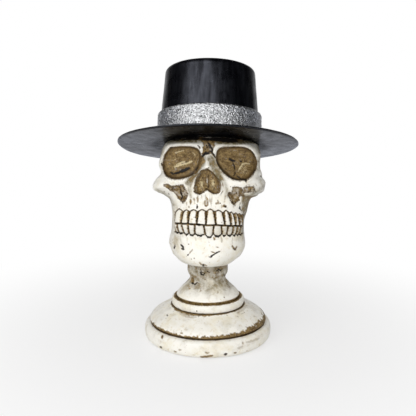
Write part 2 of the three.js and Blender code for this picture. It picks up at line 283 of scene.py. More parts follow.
# Which point of its outline each vertex of a turned piece comes from
def outlineIndex(points, outline):
    radius = np.hypot(points[:, 0], points[:, 1])
    nearest = np.zeros(len(points), int)
    best = np.full(len(points), 1e9)
    for k, (pointRadius, pointHeight) in enumerate(outline):
        away = np.abs(radius - pointRadius) + np.abs(points[:, 2] - pointHeight)
        closer = away < best
        nearest[closer], best[closer] = k, away[closer]
    return nearest


# Places of the head and of the hat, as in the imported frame
headPlace = {"neckLevel": 60.15, "tilt": 11.0, "roll": 2.0, "turn": 3.8}
hatPlace = {"shift": 2.3, "setBack": 1.9, "level": 95.218, "tilt": 3.5, "roll": 1.3}


def turnMatrix(aboutX, aboutY, aboutZ):
    a, b, c = (math.radians(angle) for angle in (aboutX, aboutY, aboutZ))
    x = np.array([[1, 0, 0], [0, math.cos(a), -math.sin(a)], [0, math.sin(a), math.cos(a)]])
    y = np.array([[math.cos(b), 0, math.sin(b)], [0, 1, 0], [-math.sin(b), 0, math.cos(b)]])
    z = np.array([[math.cos(c), -math.sin(c), 0], [math.sin(c), math.cos(c), 0], [0, 0, 1]])
    return x @ y @ z


headTurn = turnMatrix(-headPlace["tilt"], headPlace["roll"], -headPlace["turn"])
hatTurn = turnMatrix(-hatPlace["tilt"], -hatPlace["roll"], 0)


def headToWorld(points):
    return points @ headTurn.T + np.array([0, 0, headPlace["neckLevel"]])


def hatToWorld(points):
    place = np.array([-hatPlace["shift"], hatPlace["setBack"], hatPlace["level"]])
    return headToWorld(points @ hatTurn.T + place)


# Materials
def linear(hexColour):
    values = [int(hexColour[i:i + 2], 16) / 255 for i in (1, 3, 5)]
    return tuple(v / 12.92 if v <= 0.04045 else ((v + 0.055) / 1.055) ** 2.4 for v in values) + (1,)


def addNode(tree, kind, inputs=None, **settings):
    node = tree.nodes.new("ShaderNode" + kind)
    for name, value in settings.items():
        setattr(node, name, value)
    for name, value in (inputs or {}).items():
        if isinstance(value, bpy.types.NodeSocket):
            tree.links.new(value, node.inputs[name])
        else:
            node.inputs[name].default_value = value
    return node


def newMaterial(name):
    material = bpy.data.materials.new(name)
    material.use_nodes = True
    tree = material.node_tree
    tree.nodes.clear()
    return material, tree


def perMetre(millimetres):      # noise scale for a pattern of this size
    return 1 / (millimetres * mm)


# Paints that the vertices carry: brown wash, black pooled wash (both also used for painted shade and shadow),
# tan rubbed streaks with painted highlights, and a thin film of painted shade with some mottle
paintKinds = ("wash", "ink", "rubAndHighlight", "shadeAndMottle")


# Cast polyester resin, painted ivory and wiped with a brown antiquing wash: satin, warm white on
# the high places, brown in the hollows, black where the wash pooled in cracks
def makeResin():
    material, tree = newMaterial("antiquedCastResin")
    place = addNode(tree, "TexCoord").outputs["Object"]
    mottle, grime, fine = (
        addNode(tree, "TexNoise", {"Vector": place, "Scale": perMetre(size), "Detail": detail,
                                   "Roughness": roughness}).outputs["Fac"]
        for size, detail, roughness in ((14, 5, 0.65), (3.2, 6, 0.7), (1.1, 4, 0.65)))
    wash, ink, rubAndHighlight, shadeAndMottle = (addNode(tree, "Attribute", attribute_name=kind).outputs["Fac"]
                             for kind in paintKinds)

    # ivory, a little yellower in wide soft patches
    patches = addNode(tree, "MapRange", {"Value": mottle, "From Min": 0.48, "From Max": 0.7})
    ivory = addNode(tree, "Mix", {0: patches.outputs["Result"], 6: linear("#f6f3ea"), 7: linear("#ebe3cc")},
                    data_type="RGBA")
    # tan stains where the wash wasn't wiped off
    stains = addNode(tree, "MapRange", {"Value": grime, "From Min": 0.56, "From Max": 0.72, "To Max": 0.7})
    stained = addNode(tree, "Mix", {0: stains.outputs["Result"], 6: ivory.outputs[2], 7: linear("#cdb98f")},
                      data_type="RGBA")
    # painted shade: a thin grey-olive film, cloudy, on what lies in shade, with some faint mottle
    cloudy = addNode(tree, "MapRange", {"Value": grime, "From Min": 0.35, "From Max": 0.62,
                                        "To Min": 0.55, "To Max": 1.2})
    shadeShare = addNode(tree, "Math", {0: shadeAndMottle, 1: cloudy.outputs["Result"]}, operation="MULTIPLY",
                         use_clamp=True)
    shadedColour = addNode(tree, "Mix", {0: shadeShare.outputs[0], 6: stained.outputs[2], 7: linear("#695d39")},
                     data_type="RGBA")
    # the wash breaks up at its edges, and is darker in some flecks than in others
    centred = addNode(tree, "Math", {0: fine, 1: 0.5}, operation="SUBTRACT").outputs[0]
    centredGrime = addNode(tree, "Math", {0: grime, 1: 0.5}, operation="SUBTRACT").outputs[0]
    washEdge = addNode(tree, "Math", {0: centred, 1: 0.9, 2: wash}, operation="MULTIPLY_ADD")
    washRough = addNode(tree, "Math", {0: centredGrime, 1: 0.8, 2: washEdge.outputs[0]},
                        operation="MULTIPLY_ADD")
    washShare = addNode(tree, "MapRange", {"Value": washRough.outputs[0], "From Min": 0.08, "From Max": 0.85})
    washHeld = addNode(tree, "Math", {0: washShare.outputs["Result"], 1: wash}, operation="MULTIPLY")
    washKept = addNode(tree, "Math", {0: washHeld.outputs[0], 1: 1.25}, operation="MULTIPLY", use_clamp=True)
    flecks = addNode(tree, "Math", {0: centredGrime, 1: 0.75, 2: fine}, operation="MULTIPLY_ADD")
    washRamp = addNode(tree, "ValToRGB", {"Fac": flecks.outputs[0]})
    washRamp.color_ramp.elements[0].position = 0.34
    washRamp.color_ramp.elements[0].color = linear("#4e3610")
    washRamp.color_ramp.elements[1].position = 0.68
    washRamp.color_ramp.elements[1].color = linear("#a08654")
    washed = addNode(tree, "Mix", {0: washKept.outputs[0], 6: shadedColour.outputs[2],
                                   7: washRamp.outputs["Color"]}, data_type="RGBA")
    # tan rubbed streaks, and painted highlights on the nose lobes and septum
    rubEdge = addNode(tree, "Math", {0: centred, 1: 1.6, 2: rubAndHighlight}, operation="MULTIPLY_ADD")
    rubShare = addNode(tree, "MapRange", {"Value": rubEdge.outputs[0], "From Min": 0.35, "From Max": 0.95})
    rubbed = addNode(tree, "Mix", {0: rubShare.outputs["Result"], 6: washed.outputs[2], 7: linear("#d6c69c")},
                     data_type="RGBA")
    # pooled wash: brown at its border, nearly black inside
    inkEdge = addNode(tree, "Math", {0: centred, 1: 0.9, 2: ink}, operation="MULTIPLY_ADD")
    haloShare = addNode(tree, "MapRange", {"Value": inkEdge.outputs[0], "From Min": 0.12, "From Max": 0.42,
                                           "To Max": 0.85})
    haloed = addNode(tree, "Mix", {0: haloShare.outputs["Result"], 6: rubbed.outputs[2],
                                   7: linear("#553e15")}, data_type="RGBA")
    inkShare = addNode(tree, "MapRange", {"Value": inkEdge.outputs[0], "From Min": 0.38, "From Max": 0.66})
    inked = addNode(tree, "Mix", {0: inkShare.outputs["Result"], 6: haloed.outputs[2], 7: linear("#17120d")},
                    data_type="RGBA")
    matte = addNode(tree, "MapRange", {"Value": grime, "From Min": 0.3, "From Max": 0.7,
                                       "To Min": 0.4, "To Max": 0.56})
    roughness = addNode(tree, "Math", {0: washKept.outputs[0], 1: 0.16, 2: matte.outputs["Result"]},
                        operation="MULTIPLY_ADD")
    bumpHeight = addNode(tree, "Math", {0: grime, 1: 0.5, 2: fine}, operation="MULTIPLY_ADD")
    relief = addNode(tree, "Bump", {"Height": bumpHeight.outputs[0], "Strength": 0.6, "Distance": 0.15 * mm})
    shader = addNode(tree, "BsdfPrincipled", {"Base Color": inked.outputs[2],
                                              "Roughness": roughness.outputs[0],
                                              "Normal": relief.outputs["Normal"], "IOR": 1.5})
    addNode(tree, "OutputMaterial", {"Surface": shader.outputs[0]})
    return material


# Gloss black enamel brushed on cast resin: near black, one soft highlight, faint brush lines round
# the hat, and painted shade under the brim, where its gloss is turned down
def makeEnamel():
    material, tree = newMaterial("brushedBlackEnamel")
    around = addNode(tree, "Attribute", attribute_name="around").outputs["Vector"]
    place = addNode(tree, "TexCoord").outputs["Object"]
    streaks = addNode(tree, "TexNoise", {"Vector": around, "Scale": 1.0, "Detail": 5, "Roughness": 0.6})
    spots = addNode(tree, "TexNoise", {"Vector": place, "Scale": perMetre(7), "Detail": 4, "Roughness": 0.6})
    # painted shade: the gloss is turned down under the brim near the head and at the front
    brimShade = addNode(tree, "Attribute", attribute_name="brimShade").outputs["Fac"]
    shadedGloss = addNode(tree, "MapRange", {"Value": brimShade, "To Min": 0.85, "To Max": 0.05})
    uneven = addNode(tree, "MapRange", {"Value": streaks.outputs["Fac"], "From Min": 0.38, "From Max": 0.62,
                                        "To Min": 0.36, "To Max": 1.15})
    gloss = addNode(tree, "Math", {0: shadedGloss.outputs["Result"], 1: uneven.outputs["Result"]},
                    operation="MULTIPLY")
    tone = addNode(tree, "ValToRGB", {"Fac": streaks.outputs["Fac"]})
    tone.color_ramp.elements[0].position = 0.35
    tone.color_ramp.elements[0].color = linear("#030305")
    tone.color_ramp.elements[1].position = 0.75
    tone.color_ramp.elements[1].color = linear("#090a0e")
    mixed = addNode(tree, "Math", {0: streaks.outputs["Fac"], 1: 0.6, 2: spots.outputs["Fac"]},
                    operation="MULTIPLY_ADD")
    roughness = addNode(tree, "MapRange", {"Value": mixed.outputs[0], "From Min": 0.55, "From Max": 1.05,
                                           "To Min": 0.2, "To Max": 0.42})
    relief = addNode(tree, "Bump", {"Height": mixed.outputs[0], "Strength": 0.5, "Distance": 0.2 * mm})
    shader = addNode(tree, "BsdfPrincipled", {"Base Color": tone.outputs["Color"], "IOR": 1.5,
                                              "Roughness": roughness.outputs["Result"],
                                              "Specular Tint": linear("#e2e7f8"),
                                              "Specular IOR Level": gloss.outputs[0],
                                              "Normal": relief.outputs["Normal"]})
    addNode(tree, "OutputMaterial", {"Surface": shader.outputs[0]})
    return material


# Aluminium-flake silver paint over a grainy band: every grain throws its own glint, and grains coloured near
# black to near white add painted glint and dark specks
def makeSilver():
    material, tree = newMaterial("silverFlakePaint")
    place = addNode(tree, "TexCoord").outputs["Object"]
    grains = addNode(tree, "TexVoronoi", {"Vector": place, "Scale": perMetre(1.0), "Randomness": 1.0})
    dust = addNode(tree, "TexNoise", {"Vector": place, "Scale": perMetre(0.8), "Detail": 3, "Roughness": 0.7})
    flake = addNode(tree, "SeparateColor", {"Color": grains.outputs["Color"]})
    mixture = addNode(tree, "Math", {0: flake.outputs["Red"], 1: 0.3, 2: dust.outputs["Fac"]},
                      operation="MULTIPLY_ADD")
    # painted glint: each grain's colour runs from near black to near white, with dark specks among them
    tone = addNode(tree, "ValToRGB", {"Fac": mixture.outputs[0]})
    tone.color_ramp.elements[0].position = 0.45
    tone.color_ramp.elements[0].color = linear("#1c1d21")
    tone.color_ramp.elements[1].position = 0.55
    tone.color_ramp.elements[1].color = linear("#f4f5f7")
    height = addNode(tree, "Math", {0: dust.outputs["Fac"], 1: grains.outputs["Distance"]}, operation="ADD")
    relief = addNode(tree, "Bump", {"Height": height.outputs[0], "Strength": 0.9, "Distance": 0.4 * mm})
    shader = addNode(tree, "BsdfPrincipled", {"Base Color": tone.outputs["Color"], "Metallic": 1.0,
                                              "Roughness": 0.3, "Normal": relief.outputs["Normal"]})
    addNode(tree, "OutputMaterial", {"Surface": shader.outputs[0]})
    return material


# Drawn steel rod: fine lines along its length
def makeSteel():
    material, tree = newMaterial("drawnSteel")
    place = addNode(tree, "TexCoord").outputs["Object"]
    stretched = addNode(tree, "Mapping", {"Vector": place, "Scale": (1, 1, 0.04)})
    lines = addNode(tree, "TexNoise", {"Vector": stretched.outputs[0], "Scale": perMetre(0.4), "Detail": 2})
    roughness = addNode(tree, "MapRange", {"Value": lines.outputs["Fac"], "To Min": 0.25, "To Max": 0.5})
    shader = addNode(tree, "BsdfPrincipled", {"Base Color": linear("#a9abb0"), "Metallic": 1.0,
                                              "Roughness": roughness.outputs["Result"]})
    addNode(tree, "OutputMaterial", {"Surface": shader.outputs[0]})
    return material


# Pressed wool felt: dull black, with a haze of fibres
def makeFelt():
    material, tree = newMaterial("pressedWoolFelt")
    place = addNode(tree, "TexCoord").outputs["Object"]
    fibres = addNode(tree, "TexNoise", {"Vector": place, "Scale": perMetre(0.5), "Detail": 4,
                                        "Roughness": 0.8, "Distortion": 1.5})
    tone = addNode(tree, "ValToRGB", {"Fac": fibres.outputs["Fac"]})
    tone.color_ramp.elements[0].color = linear("#131315")
    tone.color_ramp.elements[1].color = linear("#3c3c40")
    relief = addNode(tree, "Bump", {"Height": fibres.outputs["Fac"], "Strength": 0.8, "Distance": 0.3 * mm})
    shader = addNode(tree, "BsdfPrincipled", {"Base Color": tone.outputs["Color"], "Roughness": 0.95,
                                              "Sheen Weight": 0.3, "Normal": relief.outputs["Normal"]})
    addNode(tree, "OutputMaterial", {"Surface": shader.outputs[0]})
    return material


resin, enamel, silver, steel, felt = makeResin(), makeEnamel(), makeSilver(), makeSteel(), makeFelt()
print("materials made")

# Pedestal, sizes in mm
pedestal = {"footRadius": 51.0, "footHeight": 14.0, "lowerRound": 6.5, "upperRound": 5.2, "footGroove": 1.4,
            "domeRadius": 47.0, "domeCorner": 7.02, "ringRadius": 29.2, "ringBase": 27.7, "ringHeight": 6.4,
            "ringGroove": 1.1, "ringRound": 3.0, "bellRadius": 25.5, "bellBase": 34.65, "bellTop": 42.45,
            "bellCorner": 4.29, "shoulderRadius": 19.3, "waistRadius": 14.3, "waistCorner": 1.3,
            "waistLevel": 48.95, "collarRadius": 16.3, "collarLevel": 55.15,
            "neckRadius": 14.5, "neckTop": 64.15, "clearOfFloor": 0.3, "recessRadius": 41.8,
            "recessRoof": 1.6, "hollowRadius": 37.0, "hollowShoulder": 8.8, "hollowRoof": 19.7,
            "hollowSlope": 1.5, "rodHoleRadius": 3.3, "rodHoleFloor": 31.85, "spacing": 0.56, "worn": 0.35,
            "steps": 360}


def pedestalOutside():
    p = pedestal
    foot, ring, bell, floor = p["footRadius"], p["ringRadius"], p["bellRadius"], p["clearOfFloor"]
    points = [(p["recessRadius"] + 1, floor)]
    straight(points, (foot - p["lowerRound"], floor))
    curved(points, (foot, floor), (foot, floor + p["lowerRound"]))
    straight(points, (foot, p["footHeight"] - p["upperRound"]))
    curved(points, (foot, p["footHeight"]), (foot - p["upperRound"], p["footHeight"]))
    straight(points, (p["domeRadius"] - p["footGroove"], p["footHeight"] + p["footGroove"] / 2))
    straight(points, (p["domeRadius"], p["footHeight"] + p["footGroove"]))
    curved(points, (p["domeRadius"], p["ringBase"] - p["domeCorner"]), (ring, p["ringBase"]), 24)
    ringTop = p["ringBase"] + p["ringHeight"]
    straight(points, (ring - p["ringGroove"], p["ringBase"]))
    curved(points, (ring, p["ringBase"]), (ring, p["ringBase"] + p["ringHeight"] / 2))
    curved(points, (ring, ringTop), (ring - p["ringRound"], ringTop))
    straight(points, (bell - p["ringGroove"], ringTop - p["ringGroove"]))
    straight(points, (bell, p["bellBase"] + p["ringGroove"] / 2))
    bellCorner = (bell - p["ringGroove"], p["bellTop"] - p["bellCorner"])
    curved(points, bellCorner, (p["shoulderRadius"], p["bellTop"]))
    waist, collar, rise = p["waistRadius"], p["collarRadius"], p["collarLevel"] - p["waistLevel"]
    curved(points, (waist, p["waistLevel"] - p["waistCorner"]), (waist, p["waistLevel"]))
    curved(points, (waist, p["waistLevel"] + rise / 4), ((waist + collar) / 2, p["waistLevel"] + rise / 2))
    curved(points, (collar, p["collarLevel"] - rise / 4), (collar, p["collarLevel"]))
    curved(points, (collar, p["neckTop"]), (p["neckRadius"], p["neckTop"]))
    return evened(points, p["spacing"], p["worn"])


# Whole outline, and where its outside starts and ends
def pedestalOutline():
    p = pedestal
    points = [(nearAxis, p["hollowRoof"])]
    straight(points, (p["hollowRadius"] / 2, p["hollowRoof"] - p["hollowSlope"]), 4)
    hollowCorner = (p["hollowRadius"], p["hollowRoof"] - 2 * p["hollowSlope"])
    curved(points, hollowCorner, (p["hollowRadius"], p["hollowShoulder"]), 8)
    straight(points, (p["hollowRadius"], p["recessRoof"]))
    straight(points, (p["recessRadius"], p["recessRoof"]))
    straight(points, (p["recessRadius"], p["clearOfFloor"]))
    hidden = len(points)
    outside = pedestalOutside()
    points.extend(outside)
    straight(points, (p["rodHoleRadius"], p["neckTop"]), 3)
    straight(points, (p["rodHoleRadius"], p["rodHoleFloor"]), 4)
    straight(points, (nearAxis, p["rodHoleFloor"]))
    return points, hidden, hidden + len(outside)


# Marks on the pedestal that the photo shows, in its pixels: paint, half width, strength, stroke
pedestalMarks = {
    "neckPatch": ("wash", 1.5, 1.0, [(192.4, 278.6), (192.9, 282.6)]),
    "neckPatchFoot": ("ink", 0.7, 1.0, [(191.6, 282.8), (194.4, 284.2)]),
    "neckTail": ("ink", 0.3, 0.75, [(194.4, 283.9), (197.0, 282.6), (199.6, 283.5)]),
    "neckLoop": ("ink", 0.5, 1.0, [(200.4, 271.2), (200.8, 274.2), (203.4, 275.2), (204.4, 273.4)]),
    "neckLoopTop": ("ink", 0.4, 0.8, [(200.4, 268.8), (201.6, 272.2), (203.2, 272.6)]),
    "neckDot": ("ink", 0.6, 1.0, [(224.4, 275.4), (225.4, 276.1)]),
    "neckScuffA": ("ink", 0.4, 0.75, [(206.5, 270.6), (209, 272.6), (210.6, 271)]),
    "neckScuffB": ("ink", 0.4, 0.75, [(215.2, 271.6), (217.8, 270.2), (219.2, 272.8)]),
    "neckScuffC": ("ink", 0.4, 0.8, [(217.6, 268.4), (220.6, 270.6), (222.6, 269)]),
    "neckFlecks": ("wash", 0.6, 0.9, [(207.2, 274.2), (208.8, 275.2)]),
    # under the chin: speckled wash strokes that also serve as painted shade of the head
    "underChinA": ("wash", 1.4, 0.62, [(197, 267.8), (204, 270.2), (212, 269.6), (221, 268.4),
                                       (226.5, 266.4)]),
    "underChinB": ("wash", 1.4, 0.55, [(204.5, 273), (211.5, 272.2), (218, 273)]),
    "bellShade": ("wash", 1.7, 0.45, [(180.6, 292.5), (183.6, 288.9), (187, 285.8), (194, 286.2),
                                      (200, 287)]),
    "bellShadeRight": ("wash", 1.4, 0.42, [(219, 285.7), (225.5, 286.3), (229.5, 288.6)]),
    "bellShadeEdge": ("wash", 1.6, 0.35, [(221.5, 292.5), (229, 294)]),
    "domeDotA": ("ink", 0.6, 1.0, [(167.0, 314.9), (167.5, 315.3)]),
    "domeDotB": ("ink", 0.5, 0.95, [(173.1, 310.8), (173.6, 311)]),
    "domeDotC": ("ink", 0.45, 0.9, [(196.5, 310.8), (196.8, 311.9)]),
    "domeDotD": ("wash", 0.9, 1.0, [(181.3, 333), (182.2, 333.4)]),
    "domeSmear": ("wash", 1.7, 0.6, [(178, 309.6), (182.6, 312.6), (190, 314.4)]),
    "domeSmearLow": ("wash", 1.2, 0.5, [(180.2, 313.6), (186, 316.2), (196, 317)]),
    "domeSmearRight": ("wash", 1.5, 0.5, [(238, 311.6), (243, 309.2), (246.6, 305.6)]),
    "domeSmearFar": ("wash", 2.0, 0.4, [(247.6, 306), (252, 306.4), (255, 309.4)]),
    "domeFlecksA": ("wash", 0.6, 0.8, [(226.4, 314.8), (227.6, 315.2)]),
    "domeFlecksB": ("wash", 0.6, 0.8, [(237, 316.3), (238.6, 316.7)]),
    "domeFlecksC": ("wash", 0.6, 0.7, [(241.6, 313.7), (243.6, 313.2)]),
    "domeFlecksD": ("wash", 0.7, 0.6, [(253.6, 316), (254.9, 316.4)]),
    "footDotA": ("ink", 0.6, 1.0, [(160.2, 347.1), (161, 347.6)]),
    "footDotB": ("wash", 0.9, 1.0, [(162.3, 335.2), (161.6, 337.6)]),
    "footDotC": ("wash", 1.0, 1.0, [(174.3, 351.3), (175.8, 352.2)]),
    "footDotCTail": ("wash", 0.9, 0.7, [(178, 350.2), (181.6, 350.0)]),
    "footDotD": ("ink", 0.8, 1.0, [(225.2, 354.8), (226.7, 354.0)]),
    "footDotE": ("wash", 1.3, 0.55, [(247, 342.2), (253, 341), (258.8, 338.4)]),
    "footDotF": ("wash", 0.7, 0.8, [(242.5, 341.6), (242.9, 344)]),
    "footScuffs": ("wash", 0.9, 0.95, [(200.6, 357.0), (207, 356.8), (213, 355.8)]),
    "footScuffTop": ("wash", 0.9, 0.7, [(205.6, 352.6), (208.4, 353.6)]),
    "footShadeRight": ("wash", 1.8, 0.3, [(233, 350.8), (243, 347.6), (252, 342.4), (262, 335)]),
    "rimDot": ("wash", 0.8, 0.8, [(234.4, 353.2), (236.6, 352.6)]),
}


def lay(paints, kind, amount):
    paints[kind] = np.maximum(paints[kind], amount)


# How far a painted border strays, about -1 to 1
def strayed(points):
    return 0.6 * lumps(points, 1.6, 24) + 0.5 * lumps(points, 0.8, 25)


# Full inside a line of this half width, fading over its border, all in pixels
def lineAmount(distance, width):
    border = 1.1
    return np.clip(0.5 + (width - distance) / border, 0, 1)


def strokePaint(x, y, front, marks, paints, ragged):
    for kind, width, strength, stroke in marks:
        if kind == "shadeAndMottle":
            amount = bump(strokeDistance(x, y, stroke, 9), width)
        else:
            (startX, startY), (endX, endY) = stroke[0], stroke[-1]
            fromEnd = np.minimum(np.hypot(x - startX, y - startY), np.hypot(x - endX, y - endY))
            distance = strokeDistance(x, y, stroke) + 0.6 * ragged + 0.4 * bump(fromEnd, 1.3)
            amount = lineAmount(distance, width + 0.15)
        lay(paints, kind, strength * front * amount)


# Small casting pits one after another: how deep each is at every point
def castingPits(points, candidates, pits, seeds):
    for spot in seeds.choice(candidates, pits["count"]):
        size = seeds.uniform(*pits["sizes"])
        far = np.linalg.norm(points - points[spot], axis=1) / size
        yield 1 - smoothStep(0.5, pits["border"], far)


# How far each point of the outline lies in a groove, in mm
def grooveDepths(outline, hidden, shown):
    profile = np.array(outline)
    soft = profile.copy()
    for _ in range(30):
        soft[hidden + 1:shown - 1] = (soft[hidden:shown - 2] + soft[hidden + 1:shown - 1] * 2
                                      + soft[hidden + 2:shown]) / 4
    along = np.gradient(profile, axis=0)
    along /= np.linalg.norm(along, axis=1)[:, None] + 1e-9
    outward = np.stack([along[:, 1], -along[:, 0]], 1)
    hollow = ((soft - profile) * outward).sum(1)
    hollow[:hidden + 2] = 0
    hollow[shown - 2:] = 0
    return hollow


# Where the wash lies on the pedestal: lengths in mm, angles in radians from the front to the right
pedestalWash = {"neck": (-2, 3), "underChin": (54, 59), "bellFrom": 2.5, "besideBell": 1.6, "bellEdge": 2,
                "overRing": 1.9, "domeFrom": 38, "domeRise": 0.4, "pool": 1.6, "frontPool": (0.1, 0.4),
                "leftPool": (-0.9, 0.5), "rightPool": (0.1, 0.9, 1.9, 2.6), "underRingFrom": 28,
                "underRing": 1.3, "underRingLeft": (-0.55, 0.5), "lookDown": 0.17, "sink": 0.18}
pedestalPits = {"seed": 7, "count": 150, "sizes": (0.35, 0.9), "border": 1.1, "depth": 0.12}


def paintPedestal(points, groove, ragged):
    p, w = pedestal, pedestalWash
    angle = np.arctan2(points[:, 0], -points[:, 1])     # 0 faces the camera, above zero to the right
    level = points[:, 2]
    radius = np.hypot(points[:, 0], points[:, 1])
    paints = {kind: np.zeros(len(points)) for kind in paintKinds}
    neckFrom, neckFull = w["neck"]
    onNeck = smoothStep(p["bellTop"] + neckFrom, p["bellTop"] + neckFull, level)
    grooved = groove * (1 - 0.75 * onNeck)
    paints["wash"] = smoothStep(0.1, 0.36, grooved + ragged * 0.07)
    ringTop = p["ringBase"] + p["ringHeight"]
    besideBell = (np.abs(level - ringTop) < w["besideBell"]) & (radius > p["bellRadius"] - w["bellEdge"])
    sides = 0.26 + 0.4 * smoothStep(0.6, 1.0, np.abs(np.sin(angle))) + 0.2 * ragged
    pool = np.where(besideBell, sides, 0.54)
    paints["ink"] = pool * smoothStep(0.38, 0.68, grooved + lumps(points, 5, 6) * 0.2 + ragged * 0.08)
    overRing = smoothStep(0.7, -0.1, radius - (p["ringRadius"] - w["overRing"]) + 0.4 * ragged)
    lay(paints, "wash", overRing * besideBell)
    # the wash pooled above the lower groove, most of all towards the right, with a ragged border
    (frontAt, frontWide), (leftAt, leftWide) = w["frontPool"], w["leftPool"]
    pooled = w["pool"] + 1.6 * bump(angle - frontAt, frontWide) + 0.8 * bump(angle - leftAt, leftWide)
    pooled += 3.0 * between(angle, *w["rightPool"]) + 0.9 * lumps(points * [1, 1, 0.2], 22, 4)
    above = (level - p["footHeight"] - w["domeRise"]) / np.maximum(pooled * (1 + 0.55 * ragged), 0.3)
    onDome = (radius > w["domeFrom"]) & (level > p["footHeight"])
    lay(paints, "wash", np.where(onDome, (0.95 + 0.2 * ragged) * (1 - smoothStep(0.8, 1.35, above)), 0))
    fromRing = np.hypot(radius - p["ringRadius"], p["ringBase"] - level)
    leftAt, leftWide = w["underRingLeft"]
    reach = w["underRing"] + 0.8 * ragged + 2.2 * bump(angle - leftAt, leftWide) * (1 + 0.8 * ragged)
    below = fromRing / np.maximum(reach, 0.2)
    underRing = (level < p["ringBase"] + 0.2) & (radius > w["underRingFrom"])
    lay(paints, "wash", np.where(underRing, 0.9 * (1 - smoothStep(0.4, 1.2, below)), 0))
    lay(paints, "ink", np.where(underRing, 0.56 * smoothStep(0.7, 0.35, fromRing + 0.25 * ragged), 0))
    # painted shade on the neck and the bell: a cloudy wash and film, deepest under the chin
    onBell = smoothStep(p["bellBase"] + w["bellFrom"], p["bellTop"], level) * (1 - onNeck)
    clouds = lumps(points, 3.4, 10)
    lay(paints, "wash", (0.34 + 0.4 * ragged) * onNeck + (0.14 + 0.3 * ragged) * onBell)
    neckShade = 0.55 + 0.2 * smoothStep(*w["underChin"], level) + 0.3 * clouds
    paints["shadeAndMottle"] = onNeck * neckShade + onBell * (0.2 + 0.16 * clouds)
    paints["shadeAndMottle"] += 0.12 * smoothStep(0.1, 0.8, lumps(points, 6, 12)) * (radius > w["underRingFrom"])
    return paints


def makePedestal():
    outline, hidden, shown = pedestalOutline()
    piece = turnedPiece("pedestal_visual", outline, pedestal["steps"])
    points, normals = readPoints(piece), readNormals(piece)
    ring = outlineIndex(points, outline)
    outside = (ring >= hidden + 4) & (ring < shown - 1)
    ragged = strayed(points)
    paints = paintPedestal(points, grooveDepths(outline, hidden, shown)[ring], ragged)
    lookDown = pedestalWash["lookDown"]
    front = smoothStep(0.05, 0.25, -normals[:, 1] * math.cos(lookDown) + normals[:, 2] * math.sin(lookDown))
    strokePaint(*toPhoto(points), front, pedestalMarks.values(), paints, ragged)
    rough = lumps(points, 6, 1) * 0.16 + lumps(points, 2.2, 2) * 0.07 + lumps(points, 0.9, 3) * 0.035
    seeds = np.random.default_rng(pedestalPits["seed"])
    for deep in castingPits(points, np.flatnonzero(outside), pedestalPits, seeds):
        lay(paints, "wash", deep * seeds.uniform(0.4, 1))
        rough -= deep * pedestalPits["depth"]
    paints["wash"] += 0.3 * smoothStep(0.35, 0.8, lumps(points, 4.5, 8) + 0.5 * ragged)
    cut = np.minimum(paints["ink"], 1) * 0.25
    outward = np.where(outside, rough - cut, 0) - pedestalWash["sink"] * outside
    writePoints(piece, points + normals * outward[:, None])
    for name, values in paints.items():
        paint(piece, name, values * outside)
    finishPiece(piece, resin, "pedestal")


makePedestal()
print("pedestal made")

# Skull, sizes in mm
skull = {"height": 142.0, "halfWidth": 44.5, "depth": 88.0, "chinDrop": 1.2, "columns": 360, "rings": 276,
         "frontCrowding": 0.5, "hatFrom": 97.0, "underFrom": 3.0, "endRows": 14, "least": 0.05,
         "jawShift": 0.3, "jawSpan": (28, 50), "chinShift": 0.8, "chinSpan": (2, 11),
         "drawnIn": 6.0, "drawnAt": (0.76, 0.14), "drawnSpan": (0.03, 0.09, 0.3, 0.36),
         "crownRise": 0.3, "chinFall": 0.02, "neckGap": 0.3, "neckFloor": 40.0, "rodHoleRoof": 96.45,
         "cutterSteps": 96, "smoothAngle": 70}
skullPits = {"seed": 23, "count": 130, "sizes": (0.3, 0.8), "border": 1.15, "depth": 0.15, "levels": (2, 92)}

# Each section of the head: share of the height, half width, front, back, widest place, squareness
sections = np.array([
    (0, 0, 0.06, 0.04, -0.05, 2), (0.004, 0.33, 0.36, 0.13, -0.05, 2),
    (0.018, 0.435, 0.388, 0.175, -0.07, 2.1), (0.039, 0.515, 0.402, 0.195, -0.09, 2.2),
    (0.068, 0.605, 0.4, 0.205, -0.1, 2.3), (0.131, 0.675, 0.41, 0.21, -0.1, 2.3),
    (0.199, 0.65, 0.42, 0.215, -0.1, 2.3), (0.263, 0.642, 0.432, 0.22, -0.1, 2.3),
    (0.317, 0.662, 0.432, 0.24, -0.1, 2.3), (0.353, 0.695, 0.432, 0.28, -0.1, 2.4),
    (0.376, 0.765, 0.432, 0.34, -0.1, 2.4), (0.396, 0.885, 0.438, 0.41, -0.11, 2.4),
    (0.417, 0.97, 0.443, 0.455, -0.11, 2.5), (0.444, 1, 0.443, 0.49, -0.11, 2.6),
    (0.467, 0.985, 0.443, 0.51, -0.1, 2.7), (0.503, 0.905, 0.443, 0.528, -0.08, 2.7),
    (0.544, 0.9, 0.443, 0.534, -0.045, 2.7), (0.594, 0.9, 0.45, 0.528, -0.02, 2.6),
    (0.634, 0.885, 0.466, 0.511, 0, 2.5), (0.666, 0.85, 0.445, 0.489, 0.01, 2.2),
    (0.694, 0.825, 0.405, 0.46, 0.02, 2), (0.755, 0.783, 0.37, 0.435, 0.02, 2),
    (0.825, 0.725, 0.34, 0.405, 0.02, 2), (0.889, 0.618, 0.28, 0.35, 0.02, 2),
    (0.945, 0.454, 0.19, 0.26, 0.03, 2), (0.98, 0.27, 0.1, 0.17, 0.03, 2), (1, 0, 0.03, 0.06, 0.03, 2)])

